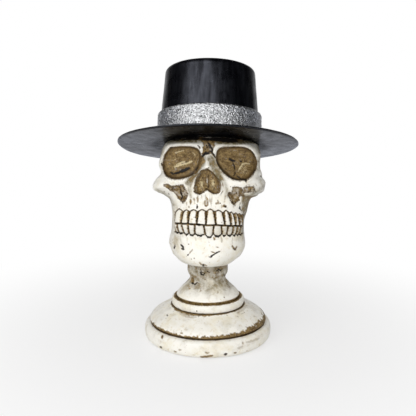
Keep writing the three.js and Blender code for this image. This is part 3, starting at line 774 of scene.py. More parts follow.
# Outlines on the face, in the photo's pixels
faceOutlines = {
    "leftSocket": [(170.7, 147.4), (177.4, 146.6), (184.8, 146.4), (193.1, 147), (198.1, 149.1), (201, 154),
                   (201.4, 159.9), (198.9, 166.5), (193.9, 173.1), (186.5, 177.3), (175.7, 178.9),
                   (167.4, 176.4), (163.7, 170.6), (162.4, 163.2), (164.1, 155.7), (167.4, 150.7)],
    "rightSocket": [(218.8, 148.7), (224.6, 147), (232.9, 146.8), (241.2, 147), (247.8, 148.2),
                    (252.8, 152.4), (256.6, 159), (257, 165.7), (253.6, 173.1), (247.8, 178.9),
                    (240.4, 180.2), (232.9, 178.9), (226.3, 174.8), (220.5, 169), (216.7, 161.5),
                    (216.3, 154.9)],
    "noseHole": [(207.2, 169), (213, 172.3), (218, 179.8), (220.3, 187.2), (218.8, 192.2), (214.7, 194),
                 (210.5, 191.8), (207.4, 190.1), (203.9, 192.2), (199.8, 194), (195.2, 193), (193.5, 189.7),
                 (195.2, 183.9), (198.9, 176.4), (202.2, 171.5)],
    "leftHollow": [(163.3, 184.3), (166.6, 183.9), (171.6, 186.4), (178.2, 185.1), (183.2, 184.7),
                   (186.5, 189.7), (188.6, 194.7), (186.5, 198.8), (183.2, 203), (180.7, 200.5),
                   (177.4, 197.2), (174.9, 193.8), (169.9, 190.5), (165.8, 187.2)],
    "rightHollow": [(232.8, 187.4), (235.7, 186.6), (241.6, 188.1), (243, 190.6), (244.5, 187.4),
                    (249.6, 185.9), (254, 186.6), (254.8, 190.3), (251.1, 192.5), (246.7, 192.5),
                    (243.8, 194), (244.5, 196.2), (240.1, 196.9), (239.4, 200.6), (235.7, 202.8),
                    (232.8, 204.2), (229.1, 198.4), (228.4, 193.2), (232, 191.8)],
    "glabella": [(203, 138), (215.5, 138), (214, 147), (213, 152), (216, 157.5), (210, 154), (204, 155.5),
                 (201, 157), (203, 150)],
}

# Rows of teeth in the photo's pixels: the gaps where they meet the gum, the gaps' other ends, and
# the gum's edge at each tooth
upperTeeth = {"gum": [(175.2, 212.2), (183.2, 211.7), (189.4, 211.7), (197.7, 211.7), (206.4, 211.7),
                      (214.3, 211.7), (223, 213), (229.2, 213), (233.8, 214.6), (237.9, 214.6),
                      (241.2, 215.4), (244.6, 216)],
              "bite": [(174.2, 223.2), (181.1, 223), (188.1, 223.4), (196.8, 223.6), (206, 224.2),
                       (215.9, 224.3), (225, 224.7), (230.8, 224.9), (235.4, 225.1), (239.1, 225.3),
                       (242, 225.4), (245.2, 225.5)],
              "arch": [208.8, 209.8, 209.8, 209.6, 208.9, 210.3, 210.4, 212.1, 213, 213.8, 214.6]}
lowerTeeth = {"gum": [(176.2, 231.8), (178.8, 232), (184, 232.4), (189, 232.6), (194.8, 233.4),
                      (205.1, 233.6), (213, 233.4), (222.1, 233.6), (226.8, 233.6), (232.2, 233.4),
                      (235.9, 233.4), (238.8, 233.2), (242.4, 232.8)],
              "bite": [(174.4, 224.4), (177.4, 224.6), (181.9, 224.8), (188.1, 225.2), (194.8, 225.6),
                       (203.9, 226.2), (213.8, 226), (221.3, 226.2), (227.9, 226.6), (233.3, 226.8),
                       (237.1, 226.8), (240.4, 226.8), (244.6, 226.8)],
              "arch": [232.8, 233.2, 234.5, 235.3, 235.6, 237.4, 236.1, 236, 235.6, 235.4, 235.2, 234.6]}
mouthLine = [(175.4, 223.3), (187, 223.8), (199.8, 224.6), (207.2, 225.3), (216.3, 225), (228.8, 225.8),
             (244.4, 225.9)]

# More places on the face, in the photo's pixels. Mounds: middle across and down, size across and down.
# Bands: column and size. Levels: a row. Spans: start, full, fade and end. Steps: start and full
facePlaces = {"underBrow": (162, 150), "leftLobe": (201.2, 185.2, 3.4, 7),
              "rightLobe": (212.6, 185.6, 3.4, 7),
              "septum": (207.0, 1.3), "septumSpan": (171, 176, 188, 190.5), "teethRows": (205, 241),
              "teethEnd": (240, 245), "thickMouth": (200, 3.5), "paleMouth": (207.6, 2.6),
              "socketFoot": (158, 172), "noseFoot": (184, 191), "leftLobeLight": (201.6, 184, 3.4, 7),
              "rightLobeLight": (213, 184.6, 3.4, 7), "leftShine": (202.0, 184, 1.4, 4),
              "rightShine": (213.4, 184, 1.6, 4.4), "septumShine": (206.7, 0.8),
              "septumShineSpan": (174, 178, 187, 189), "browLevel": 140.2, "browDip": (229, 13),
              "hatLevel": 120, "hatShade": (215, 240), "overTeethDown": (192, 196, 207, 210),
              "overTeethAcross": (176, 184, 234, 240), "jawRight": (240.5, 243.2),
              "jawRightSpan": (193, 197, 226, 238), "jawLeft": (178, 173),
              "jawLeftSpan": (196, 202, 226, 236),
              "lowerRow": (225, 228, 233, 236), "lowerRowFrom": (172, 176), "lowerRowDarker": (205, 235),
              "leftJawShade": (176, 240, 6, 12), "rightJawShade": (241, 236, 6, 10)}

# Forms of the face in mm: place across and up, size across and up, height, mirrored
faceForms = {"brow": (20, 93, 17, 3.2, 1.4), "innerBrow": (8, 90.5, 4.5, 5, 0.8),
             "cheekBone": (31, 62, 10, 6, 2.0), "underCheek": (22.5, 51, 7, 7.5, -1.6),
             "muzzle": (8, 44, 15, 9, 1.0), "bite": (10, 31, 17, 12, 0.7),
             "underLip": (8, 19.5, 15, 3.5, -0.9), "chin": (7, 8.5, 11, 6.5, 1.2),
             "chinKnob": (13, 5.5, 6, 4.5, 0.7), "noseBridge": (0, 78, 4.2, 7, 1.7),
             "noseFlank": (8.5, 67, 4, 8, -0.4)}

# Forms of the sides and the back in mm. Mounds: place along or across and up, its sizes, height.
# Arches: level, size and how far they stray. Spans: start, full, fade and end
sideMounds = {"temple": (-2, 78, 13, 8, -1.6), "underCheek": (-5, 51, 9, 5.5, -2.0),
              "chewing": (-12, 33, 6, 12, -1.2), "behindEar": (26, 52, 6, 6, 2.0),
              "overEar": (10, 74, 7, 6, -0.9)}
backMounds = {"ridge": (0, 63, 14, 3, 1.6), "knob": (0, 66, 7, 8, 1.2)}
sideArches = {"arch": (62.5, 4.2, 0), "underArch": (55.5, 2.4, 1), "overArch": (70, 3.5, 1.5)}
sideSpans = {"arch": (-26, -14, 12, 20), "underArch": (-22, -8, 9, 16), "overArch": (-22, -10, 14, 24),
             "branch": (10, 18, 48, 54), "jawBack": (8, 16, 46, 54)}
sidePlaces = {"archSlope": (-20, 0.08), "branch": (3, 7), "ear": (19, 57), "jawBack": (12, 4),
              "cheekGrime": (-5, 50, 8, 4), "seamsBehind": (4, 92, 64), "seamOverEar": (16, 62, 21, 66)}
# Ridges of each cheek, by its side: level, size, height. They sit at unlike levels, as cast
cheekRidges = {-1: ((56, 4, 1.7), (64.5, 4, -1.9), (70.5, 3.2, -1.6), (77.5, 5, 1.3)),
               1: ((45, 8, 1.6), (54, 2.6, -2.2), (61.5, 3.5, -1.8), (71.5, 3, 1.0))}

# Marks on the skull that the photo shows, in its pixels: paint, half width, strength, stroke
skullMarks = {
    "leftScar": ("ink", 0.7, 1.0, [(170.6, 172.6), (173.4, 173.7), (179.2, 172.3), (184, 170),
                                   (189.4, 167.6)]),
    "leftScarWide": ("ink", 1.3, 1.0, [(180.8, 171.4), (184.8, 169.8), (188.9, 168.0)]),
    "leftStreakLow": ("rubAndHighlight", 0.8, 1.0, [(174.4, 167.2), (179.6, 165.2), (186.4, 163.8), (192, 161.2)]),
    "leftStreakMid": ("rubAndHighlight", 0.7, 0.9, [(176.6, 164.8), (181.4, 162.4), (185.2, 161.6)]),
    "leftStreakTop": ("rubAndHighlight", 0.7, 0.8, [(175.4, 152.8), (179.4, 151.2), (183.6, 150.8)]),
    "leftStreakSide": ("rubAndHighlight", 0.6, 0.7, [(191.6, 151.8), (194.6, 154.2), (195.4, 157)]),
    "leftStreakFan": ("rubAndHighlight", 0.6, 0.6, [(172.8, 160.6), (177.8, 158), (184, 156.6)]),
    "leftEdgeShade": ("wash", 1.0, 0.9, [(197, 174.6), (193.4, 177.4), (189, 179.6)]),
    "rightScarTop": ("ink", 1.0, 1.0, [(229.8, 159.2), (232, 160.4), (234.6, 160.8)]),
    "rightScar": ("ink", 0.35, 0.85, [(232.9, 162.3), (234.6, 166.5), (235.4, 173.1), (233.7, 175.6)]),
    "rightScarLow": ("ink", 0.5, 1.0, [(237.2, 175.6), (241.6, 179.3), (246, 179.4), (246, 182.4)]),
    "rightScarEnd": ("wash", 0.5, 0.9, [(246.6, 184.4), (249.8, 184.6)]),
    "rightDotA": ("ink", 0.7, 0.9, [(240.8, 161.2), (241.4, 161.8)]),
    "rightDotB": ("ink", 0.8, 0.9, [(252.6, 173.2), (253.3, 173.8)]),
    "rightDotC": ("ink", 0.5, 0.8, [(225.7, 168.8), (226.3, 169.2)]),
    "rightDotD": ("ink", 0.4, 0.7, [(222, 167.2), (222.3, 167.5)]),
    "rightStreakA": ("rubAndHighlight", 0.7, 1.0, [(238.2, 171.4), (240.4, 167.2), (242.4, 163.8)]),
    "rightStreakB": ("rubAndHighlight", 0.9, 0.9, [(242.2, 164.2), (246, 163.4), (249, 164)]),
    "rightStreakC": ("rubAndHighlight", 3.2, 0.46, [(243.4, 168.4), (244.8, 172.4)]),
    "leftEdgePit": ("ink", 0.8, 0.9, [(161.5, 163.4), (161.9, 165)]),
    "rightEdgePit": ("ink", 0.6, 0.9, [(258.4, 161.2), (258.8, 162)]),
    "browDash": ("ink", 0.7, 0.95, [(198, 145.4), (200, 147.6)]),
    "foreheadMark": ("ink", 0.8, 0.9, [(203.9, 139.1), (209.7, 140)]),
    "foreheadCrack": ("ink", 0.6, 0.9, [(208, 142.4), (211.8, 148.2), (212.2, 152.4), (215.5, 157.4)]),
    "noseCrack": ("ink", 0.9, 1.0, [(202.2, 156.5), (204.7, 153.6), (208.9, 153.2)]),
    "noseShade": ("wash", 1.9, 0.95, [(202, 157.6), (203.4, 160.8), (199.6, 165.6), (195.6, 172.4)]),
    "noseStreakA": ("wash", 0.9, 0.7, [(202.8, 160.6), (199.2, 168.6), (194.2, 176.6)]),
    "noseStreakB": ("wash", 0.9, 0.6, [(197.4, 172.4), (193.2, 179.6), (190.2, 186.8)]),
    "noseStreakRight": ("wash", 1.3, 0.62, [(210.4, 159), (214, 166), (218.4, 173.6), (221.6, 178.6)]),
    "noseStreakInner": ("wash", 1.0, 0.5, [(213.4, 158), (217, 166), (221, 172.6)]),
    "noseTopPit": ("ink", 0.5, 0.8, [(206.2, 168.6), (207.8, 168.8)]),
    "septumLeft": ("wash", 0.45, 0.9, [(205.3, 176.4), (205.2, 184), (206.2, 189)]),
    "septumRight": ("ink", 0.4, 0.55, [(208.4, 174.4), (208.8, 183), (208.0, 189)]),
    "besideNoseA": ("wash", 0.8, 0.6, [(190.6, 181), (191.4, 185.4)]),
    "besideNoseB": ("wash", 0.7, 0.7, [(185.5, 183), (186, 184)]),
    "besideNoseC": ("wash", 0.9, 0.6, [(222.6, 176.4), (223.6, 180.6)]),
    # films of painted shade: the flanks of the nose bridge, beside the nose, under the cheekbones, on the
    # temples and beside the right socket
    "bridgeLeft": ("shadeAndMottle", 3.0, 1.3, [(203.4, 158), (202, 164), (197.4, 171), (192, 177.6), (188.4, 183)]),
    "bridgeRight": ("shadeAndMottle", 3.6, 1.35, [(210.4, 158), (213, 165), (216.6, 172), (220, 178.6)]),
    "noseSideLeft": ("shadeAndMottle", 2.6, 0.5, [(191.2, 178), (190, 186), (189, 194)]),
    "noseSideRight": ("shadeAndMottle", 3.0, 0.5, [(223, 179), (225.6, 186), (227.4, 195)]),
    "cheekUnderLeft": ("shadeAndMottle", 2.2, 0.55, [(157.6, 190.6), (164, 194.4), (170, 198.4), (173.6, 205)]),
    "cheekUnderRight": ("shadeAndMottle", 2.4, 0.6, [(263, 186), (258, 191.6), (251, 195.6), (246, 199)]),
    "cheekSideRight": ("shadeAndMottle", 2.6, 0.35, [(258, 178), (262, 183)]),
    "templeLeft": ("shadeAndMottle", 2.2, 0.8, [(163, 140.6), (161.4, 147), (160.2, 153)]),
    "templeRight": ("shadeAndMottle", 2.2, 0.75, [(256.4, 141), (258.8, 147), (259.4, 152)]),
    "socketSideRight": ("shadeAndMottle", 2.0, 0.35, [(259.6, 158), (259.4, 167), (256.6, 174)]),
    "besideNoseD": ("wash", 0.7, 0.75, [(227.5, 188.2), (226.6, 190.6)]),
    "leftHollowCrack": ("ink", 0.6, 0.85, [(180.8, 188.4), (180.6, 192), (182.2, 196.4), (180.9, 199.6)]),
    "leftHollowTip": ("ink", 0.4, 0.6, [(163.6, 184.6), (167, 187.4), (171, 190.8)]),
    "rightHollowFoot": ("ink", 0.5, 0.7, [(230.2, 200.2), (233.2, 203.2), (235, 205.6)]),
    "rightHollowTip": ("ink", 0.5, 0.7, [(254.4, 189), (255.6, 192)]),
    "cheekFleckA": ("ink", 0.5, 0.8, [(163.9, 191.6), (164.5, 192)]),
    "cheekFleckB": ("ink", 0.4, 0.7, [(168.5, 193.7), (169, 194.1)]),
    "cheekFleckC": ("wash", 0.9, 0.8, [(168.6, 197.6), (170.6, 199.6)]),
    "cheekFleckD": ("ink", 0.4, 0.8, [(260.8, 175.8), (261.4, 176.8)]),
    "cheekFleckE": ("wash", 0.9, 0.6, [(255.6, 183.4), (256.4, 185.6)]),
    "cheekFleckF": ("wash", 0.9, 0.45, [(261, 182), (262.4, 186.4)]),
    "pitA": ("wash", 0.9, 1.0, [(190.5, 200), (190.8, 203.8)]),
    "pitAFoot": ("wash", 0.7, 0.8, [(189, 206.4), (189.2, 207.6)]),
    "pitB": ("wash", 0.9, 0.75, [(197.6, 195.6), (197.8, 202.6)]),
    "pitBFoot": ("ink", 0.5, 0.9, [(197.2, 204.6), (196.8, 208.4)]),
    "pitC": ("wash", 1.5, 0.65, [(206.3, 198.6), (206.5, 205.2)]),
    "pitCRim": ("wash", 0.5, 1.0, [(205, 199), (204.8, 204.4), (206.2, 206.8), (207.8, 204.6),
                                   (207.8, 199.2), (206.4, 197.4), (205, 199)]),
    "pitD": ("wash", 1.3, 0.75, [(216.2, 203.2), (218.6, 203)]),
    "pitDDot": ("ink", 0.4, 0.8, [(217.6, 200.3), (217.8, 200.7)]),
    "pitE": ("wash", 1.4, 1.0, [(223.6, 205.8), (225.4, 206.6)]),
    "pitEDot": ("ink", 0.7, 0.9, [(224.6, 206.6), (225.6, 206.2)]),
    "jawCrack": ("ink", 0.5, 0.95, [(239.8, 206.6), (240.3, 209.2), (241.4, 210.6)]),
    "jawCrackTop": ("ink", 0.4, 0.7, [(240.2, 202.6), (239.8, 206.6)]),
    "jawShade": ("wash", 1.6, 0.45, [(243.6, 196.4), (242.4, 203), (243.4, 210)]),
    "jawShadeLeft": ("wash", 1.2, 0.4, [(176.6, 203.6), (177.4, 207.8)]),
    "underTeethA": ("wash", 1.0, 0.95, [(214.2, 237.8), (214.4, 239.8)]),
    "underTeethB": ("wash", 1.0, 0.6, [(221.6, 237.6), (221.8, 242)]),
    "underTeethC": ("wash", 0.9, 0.4, [(195.6, 237.6), (195.6, 240.4)]),
    "underTeethD": ("wash", 0.8, 0.4, [(187.2, 237.4), (187.4, 245)]),
    "underTeethE": ("wash", 0.8, 0.5, [(179.8, 236), (181.2, 243.6)]),
    "underTeethF": ("wash", 0.8, 0.5, [(174.8, 235.4), (175, 243)]),
    "underTeethG": ("wash", 0.8, 0.45, [(232.4, 238), (232.6, 243.4)]),
    "chinStrokeA": ("ink", 0.5, 0.95, [(174.8, 244.2), (174.9, 246), (174, 248.8)]),
    "chinStrokeB": ("ink", 0.5, 0.95, [(180.9, 244.6), (182.8, 246.8), (183.4, 249.2), (181.8, 248.6)]),
    "chinDash": ("wash", 0.8, 0.7, [(192.3, 249.8), (189, 254)]),
    "chinDashFoot": ("ink", 0.4, 0.85, [(189.4, 253.4), (186.6, 256.2)]),
    "chinCrack": ("ink", 0.45, 1.0, [(220.1, 251.3), (217, 252.6), (213.8, 254.6), (210.3, 257.2)]),
    "chinCrackBranch": ("wash", 0.5, 1.0, [(210.6, 251.5), (213, 252.2), (215.5, 253.5)]),
    "chinCrackDash": ("wash", 0.5, 1.0, [(216.3, 247.3), (219.7, 247.3)]),
    "chinV": ("wash", 0.9, 0.9, [(232.3, 246), (234.6, 249.6), (237.1, 246)]),
    "chinVFoot": ("ink", 0.5, 0.7, [(233.8, 248.6), (236, 250)]),
    "chinPit": ("ink", 0.9, 1.0, [(203, 265.0), (203.1, 266.6)]),
    "chinPitBeside": ("wash", 1.0, 0.8, [(199.4, 262.6), (201.4, 264.6), (206.6, 265.8)]),
    "chinSpeck": ("wash", 0.6, 0.8, [(209.6, 262.4), (209.9, 262.8)]),
}


# The bare form of the head, by the angle from its front and by the level
def headBase(angle, level):
    s = skull
    up = (level + s["chinDrop"]) / s["height"]
    half, front, back, widest, square = (eased(up, sections[:, 0], sections[:, k]) for k in range(1, 6))
    ahead = np.cos(angle) > 0
    power = np.where(ahead, square, 2)
    wide = np.maximum(half * s["halfWidth"], s["least"])
    deep = np.maximum(np.where(ahead, front + widest, back - widest) * s["depth"], s["least"])
    aside, along = np.abs(np.sin(angle)) / wide, np.abs(np.cos(angle)) / deep
    radius = (aside ** power + along ** power) ** (-1 / power)
    drawnAt, drawnWidth = s["drawnAt"]
    drawnIn = bump(np.abs(angle) / math.pi - drawnAt, drawnWidth) * between(up, *s["drawnSpan"])
    radius = np.maximum(radius - s["drawnIn"] * drawnIn, s["least"])
    across = radius * np.sin(angle) - s["jawShift"] * (1 - smoothStep(*s["jawSpan"], level))
    across = across - s["chinShift"] * (1 - smoothStep(*s["chinSpan"], level))
    behind = -radius * np.cos(angle) + widest * s["depth"]
    return np.stack([across, behind, level + 0 * angle], -1)


def gridNormals(p):
    across = np.roll(p, -1, 1) - np.roll(p, 1, 1)
    normals = np.cross(np.gradient(p, axis=0), across)
    return normals / (np.linalg.norm(normals, axis=-1, keepdims=True) + 1e-9)


def softened(p, rounds):
    for _ in range(rounds):
        beside = (np.roll(p, 1, 1) + np.roll(p, -1, 1)) / 2
        tall = np.concatenate([p[:1], p, p[-1:]])
        p = p * 0.4 + beside * 0.3 + (tall[:-2] + tall[2:]) * 0.15
    return p


def insideOutlines(x, y):
    return {name: insideDistance(x, y, outline) for name, outline in faceOutlines.items()}


# Relief of the face, in mm towards the front
def faceDepth(points):
    f = facePlaces
    x, y = toPhoto(headToWorld(points))
    u, w = points[..., 0], points[..., 2]
    depth = np.zeros(x.shape)
    for across, up, wide, tall, height in faceForms.values():
        for side in (1, -1) if across else (1,):
            depth += height * mound(u, w, side * across, up, wide, tall)
    inside = insideOutlines(x, y)
    for name in ("leftSocket", "rightSocket"):
        s = inside[name]
        depth -= 3.4 * smoothStep(-0.7, 2.0, s) + 3.0 * smoothStep(0.5, 15, s)
        depth += (0.9 + 0.5 * smoothStep(*f["underBrow"], y)) * bump(s + 2.8, 2.2)
    s = inside["noseHole"]
    depth -= 3.0 * smoothStep(-0.6, 1.5, s) + 1.2 * smoothStep(1.5, 6, s)
    depth += 1.1 * bump(s + 2.0, 1.9)
    lobes = mound(x, y, *f["leftLobe"]) + mound(x, y, *f["rightLobe"])
    column, halfWidth = f["septum"]
    ridge = bump(x - column, halfWidth) * between(y, *f["septumSpan"])
    depth += smoothStep(0.5, 2.5, s) * (2.3 * lobes + 1.3 * ridge)
    for name in ("leftHollow", "rightHollow"):
        s = inside[name]
        depth -= 1.3 * smoothStep(-0.5, 1.2, s) + 1.3 * smoothStep(0.5, 6, s)
    depth -= 0.9 * smoothStep(-1, 2, inside["glabella"])
    return depth


# Relief of the sides and the back, in mm outwards, and its wash
def sideForms(points, normals):
    p = sidePlaces
    u, v, w = points[..., 0], points[..., 1], points[..., 2]
    side = smoothStep(0.3, 0.75, np.abs(normals[..., 0]))
    back = smoothStep(0.3, 0.8, normals[..., 1])
    slopeFrom, slope = p["archSlope"]
    levelled = w - slope * (v - slopeFrom)
    ragged = lumps(points, 2.2, 34)
    arches = {}
    for name, (level, size, stray) in sideArches.items():
        arches[name] = bump(levelled - level - stray * ragged, size) * between(v, *sideSpans[name])
    branchAt, branchWidth = p["branch"]
    branch = bump(v - branchAt, branchWidth) * between(w, *sideSpans["branch"])
    earAlong, earLevel = p["ear"]
    ear = np.hypot(v - earAlong, w - earLevel)
    height = 0.5 * arches["arch"] + 1.3 * branch - 3.0 * (1 - smoothStep(1.6, 3.4, ear))
    height -= 1.4 * arches["underArch"] * smoothStep(-6, 4, v)
    for place, up, wide, tall, rise in sideMounds.values():
        height += rise * mound(v, w, place, up, wide, tall)
    for sign, ridges in cheekRidges.items():
        for level, size, rise in ridges:
            height += (u * sign > 0) * rise * bump(w - level, size)
    height *= side
    for place, up, wide, tall, rise in backMounds.values():
        height += back * rise * mound(u, w, place, up, wide, tall)
    # wash in the ear, under the cheek arch, over it and along the jaw's back edge
    jawBackAt, jawBackWidth = p["jawBack"]
    jawBack = bump(v - jawBackAt, jawBackWidth) * between(w, *sideSpans["jawBack"])
    along = 0.8 * arches["underArch"] + 0.45 * arches["overArch"] + 0.4 * jawBack
    wash = (1 - smoothStep(1.8, 3.6, ear)) + 0.45 * mound(v, w, *p["cheekGrime"])
    wash = side * (wash + (0.7 + 0.4 * ragged) * along)
    # jagged seams of the cranium: two run down from the crown behind, one arches over each ear
    farOff = 9
    seamAcross, seamTop, seamFoot = p["seamsBehind"]
    jag = 1.6 * np.sin(w * 1.9 + 2 * np.sin(u * 0.7)) + 0.8 * np.sin(w * 4.3)
    seamBehind = np.abs(np.abs(u) - (seamAcross + (seamTop - w) * 1.05) - jag)
    seamBehind = seamBehind + farOff * (w < seamFoot) + farOff * (1 - back)
    seamAlong, seamLevel, seamRadius, seamFoot = p["seamOverEar"]
    jagSide = 0.9 * np.sin(v * 1.7) + 0.5 * np.sin(v * 4.1)
    seamSide = np.abs(np.hypot((v - seamAlong) / 1.25, w - seamLevel) - seamRadius - jagSide)
    seamSide = seamSide + farOff * (w < seamFoot) + farOff * (1 - side)
    seam = np.minimum(seamBehind * 0.75, seamSide)
    height -= 0.5 * (1 - smoothStep(0.3, 1.1, seam))
    return height, np.maximum(wash, 0.85 * (1 - smoothStep(0.3, 1.2, seam)))


# Relief in mm, wash and ink of one row of teeth
def toothRow(x, y, row, mouth, upward):
    gum, bite, arch = np.array(row["gum"]), np.array(row["bite"]), np.array(row["arch"])
    relief, wash, ink = np.zeros(x.shape), np.zeros(x.shape), np.zeros(x.shape)
    rowsTop, rowsFoot = facePlaces["teethRows"]
    near = (x > bite[0, 0] - 2) & (x < bite[-1, 0] + 2) & (y > rowsTop) & (y < rowsFoot)
    px, py, biteLine = x[near], y[near], mouth[near]
    corner = np.interp(px, gum[:, 0], gum[:, 1])
    t = np.clip((py - corner) / (np.interp(px, bite[:, 0], bite[:, 1]) - corner), 0, 1)
    gaps = gum[:, 0][:, None] + (bite[:, 0] - gum[:, 0])[:, None] * t
    tooth = np.clip((gaps <= px).sum(0) - 1, 0, len(arch) - 1)
    picks = np.arange(len(px))
    left, right = gaps[tooth, picks], gaps[tooth + 1, picks]
    side = np.abs(2 * np.clip((px - left) / (right - left), 0, 1) - 1)     # 0 mid tooth, 1 at its gaps
    gumLine = corner + (arch[tooth] - corner) * (1 - side ** (1.2 if upward else 2.2))
    intoTooth = (py - gumLine) * (1 if upward else -1)
    fromBite = np.abs(py - biteLine)
    within = smoothStep(-0.4, 0.4, intoTooth) * ((py < biteLine) if upward else (py > biteLine))
    ends = between(px, bite[0, 0] - 1, bite[0, 0] + 1, bite[-1, 0] - 1, bite[-1, 0] + 1)
    gapDistance = np.min(np.abs(gaps - px), 0)
    rounded = (1 - side ** 2.2) * smoothStep(-0.2, 3.5, intoTooth) * smoothStep(0, 1.2, fromBite)
    gapFade = smoothStep(-0.6, 0.6, intoTooth)
    relief[near] = ends * (within * (1.1 * rounded - 0.9 * bump(gapDistance, 0.75) * gapFade)
                           - 0.6 * bump(intoTooth, 0.75) + 0.4 * bump(intoTooth + 1.6, 1.3))
    wobble = 0.28 * np.sin(px * 1.7 + py * 1.1) + 0.22 * np.sin(py * 2.3 - px * 0.9)
    gapWidth = 1.0 + 0.95 * (1 - t) if upward else 1.05
    wash[near] = ends * np.maximum(within * lineAmount(gapDistance + 0.5 * wobble, gapWidth),
                                   0.9 * lineAmount(np.abs(intoTooth), 0.75))
    inkStrength, inkWidth = (0.82, 0.42) if upward else (0.7, 0.3)
    inkGap = inkStrength * within * lineAmount(gapDistance + 1.3 * wobble, inkWidth)
    if upward:
        inkGum = 0.85 * lineAmount(np.abs(intoTooth) + 0.8 * wobble, 0.32)
    else:
        inkGum = lineAmount(np.abs(intoTooth + 0.2) + wobble, 0.85 - 0.5 * side)
    ink[near] = ends * np.maximum(inkGap, inkGum)
    return relief, wash, ink


# Cuts a turned form away from a piece
def cutAway(piece, name, outline, toWorld=None):
    cutter = turnedPiece(name, outline, skull["cutterSteps"])
    if toWorld:
        writePoints(cutter, toWorld(readPoints(cutter)))
    selectOnly(piece)
    cut = piece.modifiers.new("cut", "BOOLEAN")
    cut.operation, cut.solver, cut.object = "DIFFERENCE", "MANIFOLD", cutter
    bpy.ops.object.modifier_apply(modifier=cut.name)
    bpy.data.objects.remove(cutter)


# Points of the head in rows from the crown down and columns round it, and the wash of its sides
def headGrid():
    s = skull
    turn = np.arange(s["columns"]) / s["columns"] * 2 * math.pi + math.pi / 2
    turn = (turn + math.pi) % (2 * math.pi) - math.pi
    angle = (turn - s["frontCrowding"] * np.sin(turn))[None, :]
    top, foot = s["height"] - s["chinDrop"], -s["chinDrop"]
    inHat = top - (top - s["hatFrom"]) * np.linspace(0, 1, s["endRows"])[1:-1] ** 1.4
    under = s["underFrom"] - (s["underFrom"] - foot) * (1 - np.linspace(1, 0, s["endRows"])[1:-1] ** 1.8)
    face = np.linspace(s["hatFrom"], s["underFrom"], s["rings"] - 1 - len(inHat) - len(under))
    base = headBase(angle, np.concatenate([inHat, face, under])[:, None])
    facing = smoothStep(0.05, 0.5, -gridNormals(base)[..., 1])
    grid = base
    for _ in range(2):
        grid = base + (facing * faceDepth(grid))[..., None] * np.array([0, -1, 0])
    normals = gridNormals(grid)
    height, sideWash = sideForms(grid, normals)
    return grid + normals * height[..., None], sideWash


# Teeth and the line of the mouth: relief in mm, and how far each point is from the line
def paintMouth(x, y, facing, paints):
    f = facePlaces
    mouth = np.interp(x, *np.array(mouthLine).T)
    upperRelief, upperWash, upperInk = toothRow(x, y, upperTeeth, mouth, True)
    lowerRelief, lowerWash, lowerInk = toothRow(x, y, lowerTeeth, mouth, False)
    mouthGap = strokeDistance(x, y, mouthLine)
    relief = facing * (upperRelief + lowerRelief - 1.0 * bump(mouthGap, 0.8))
    lay(paints, "wash", facing * np.maximum(upperWash, lowerWash))
    lay(paints, "ink", facing * np.maximum(upperInk, lowerInk))
    lay(paints, "wash", facing * lineAmount(mouthGap, 1.0))
    (thickAt, thickWidth), (paleAt, paleWidth) = f["thickMouth"], f["paleMouth"]
    thick = 0.5 + 0.25 * np.sin(x * 0.83) + 0.15 * np.sin(x * 1.9) + 0.25 * bump(x - thickAt, thickWidth)
    lay(paints, "ink", facing * (0.92 - 0.5 * bump(x - paleAt, paleWidth)) * lineAmount(mouthGap, thick))
    return relief * (1 - smoothStep(*f["teethEnd"], x)), mouthGap


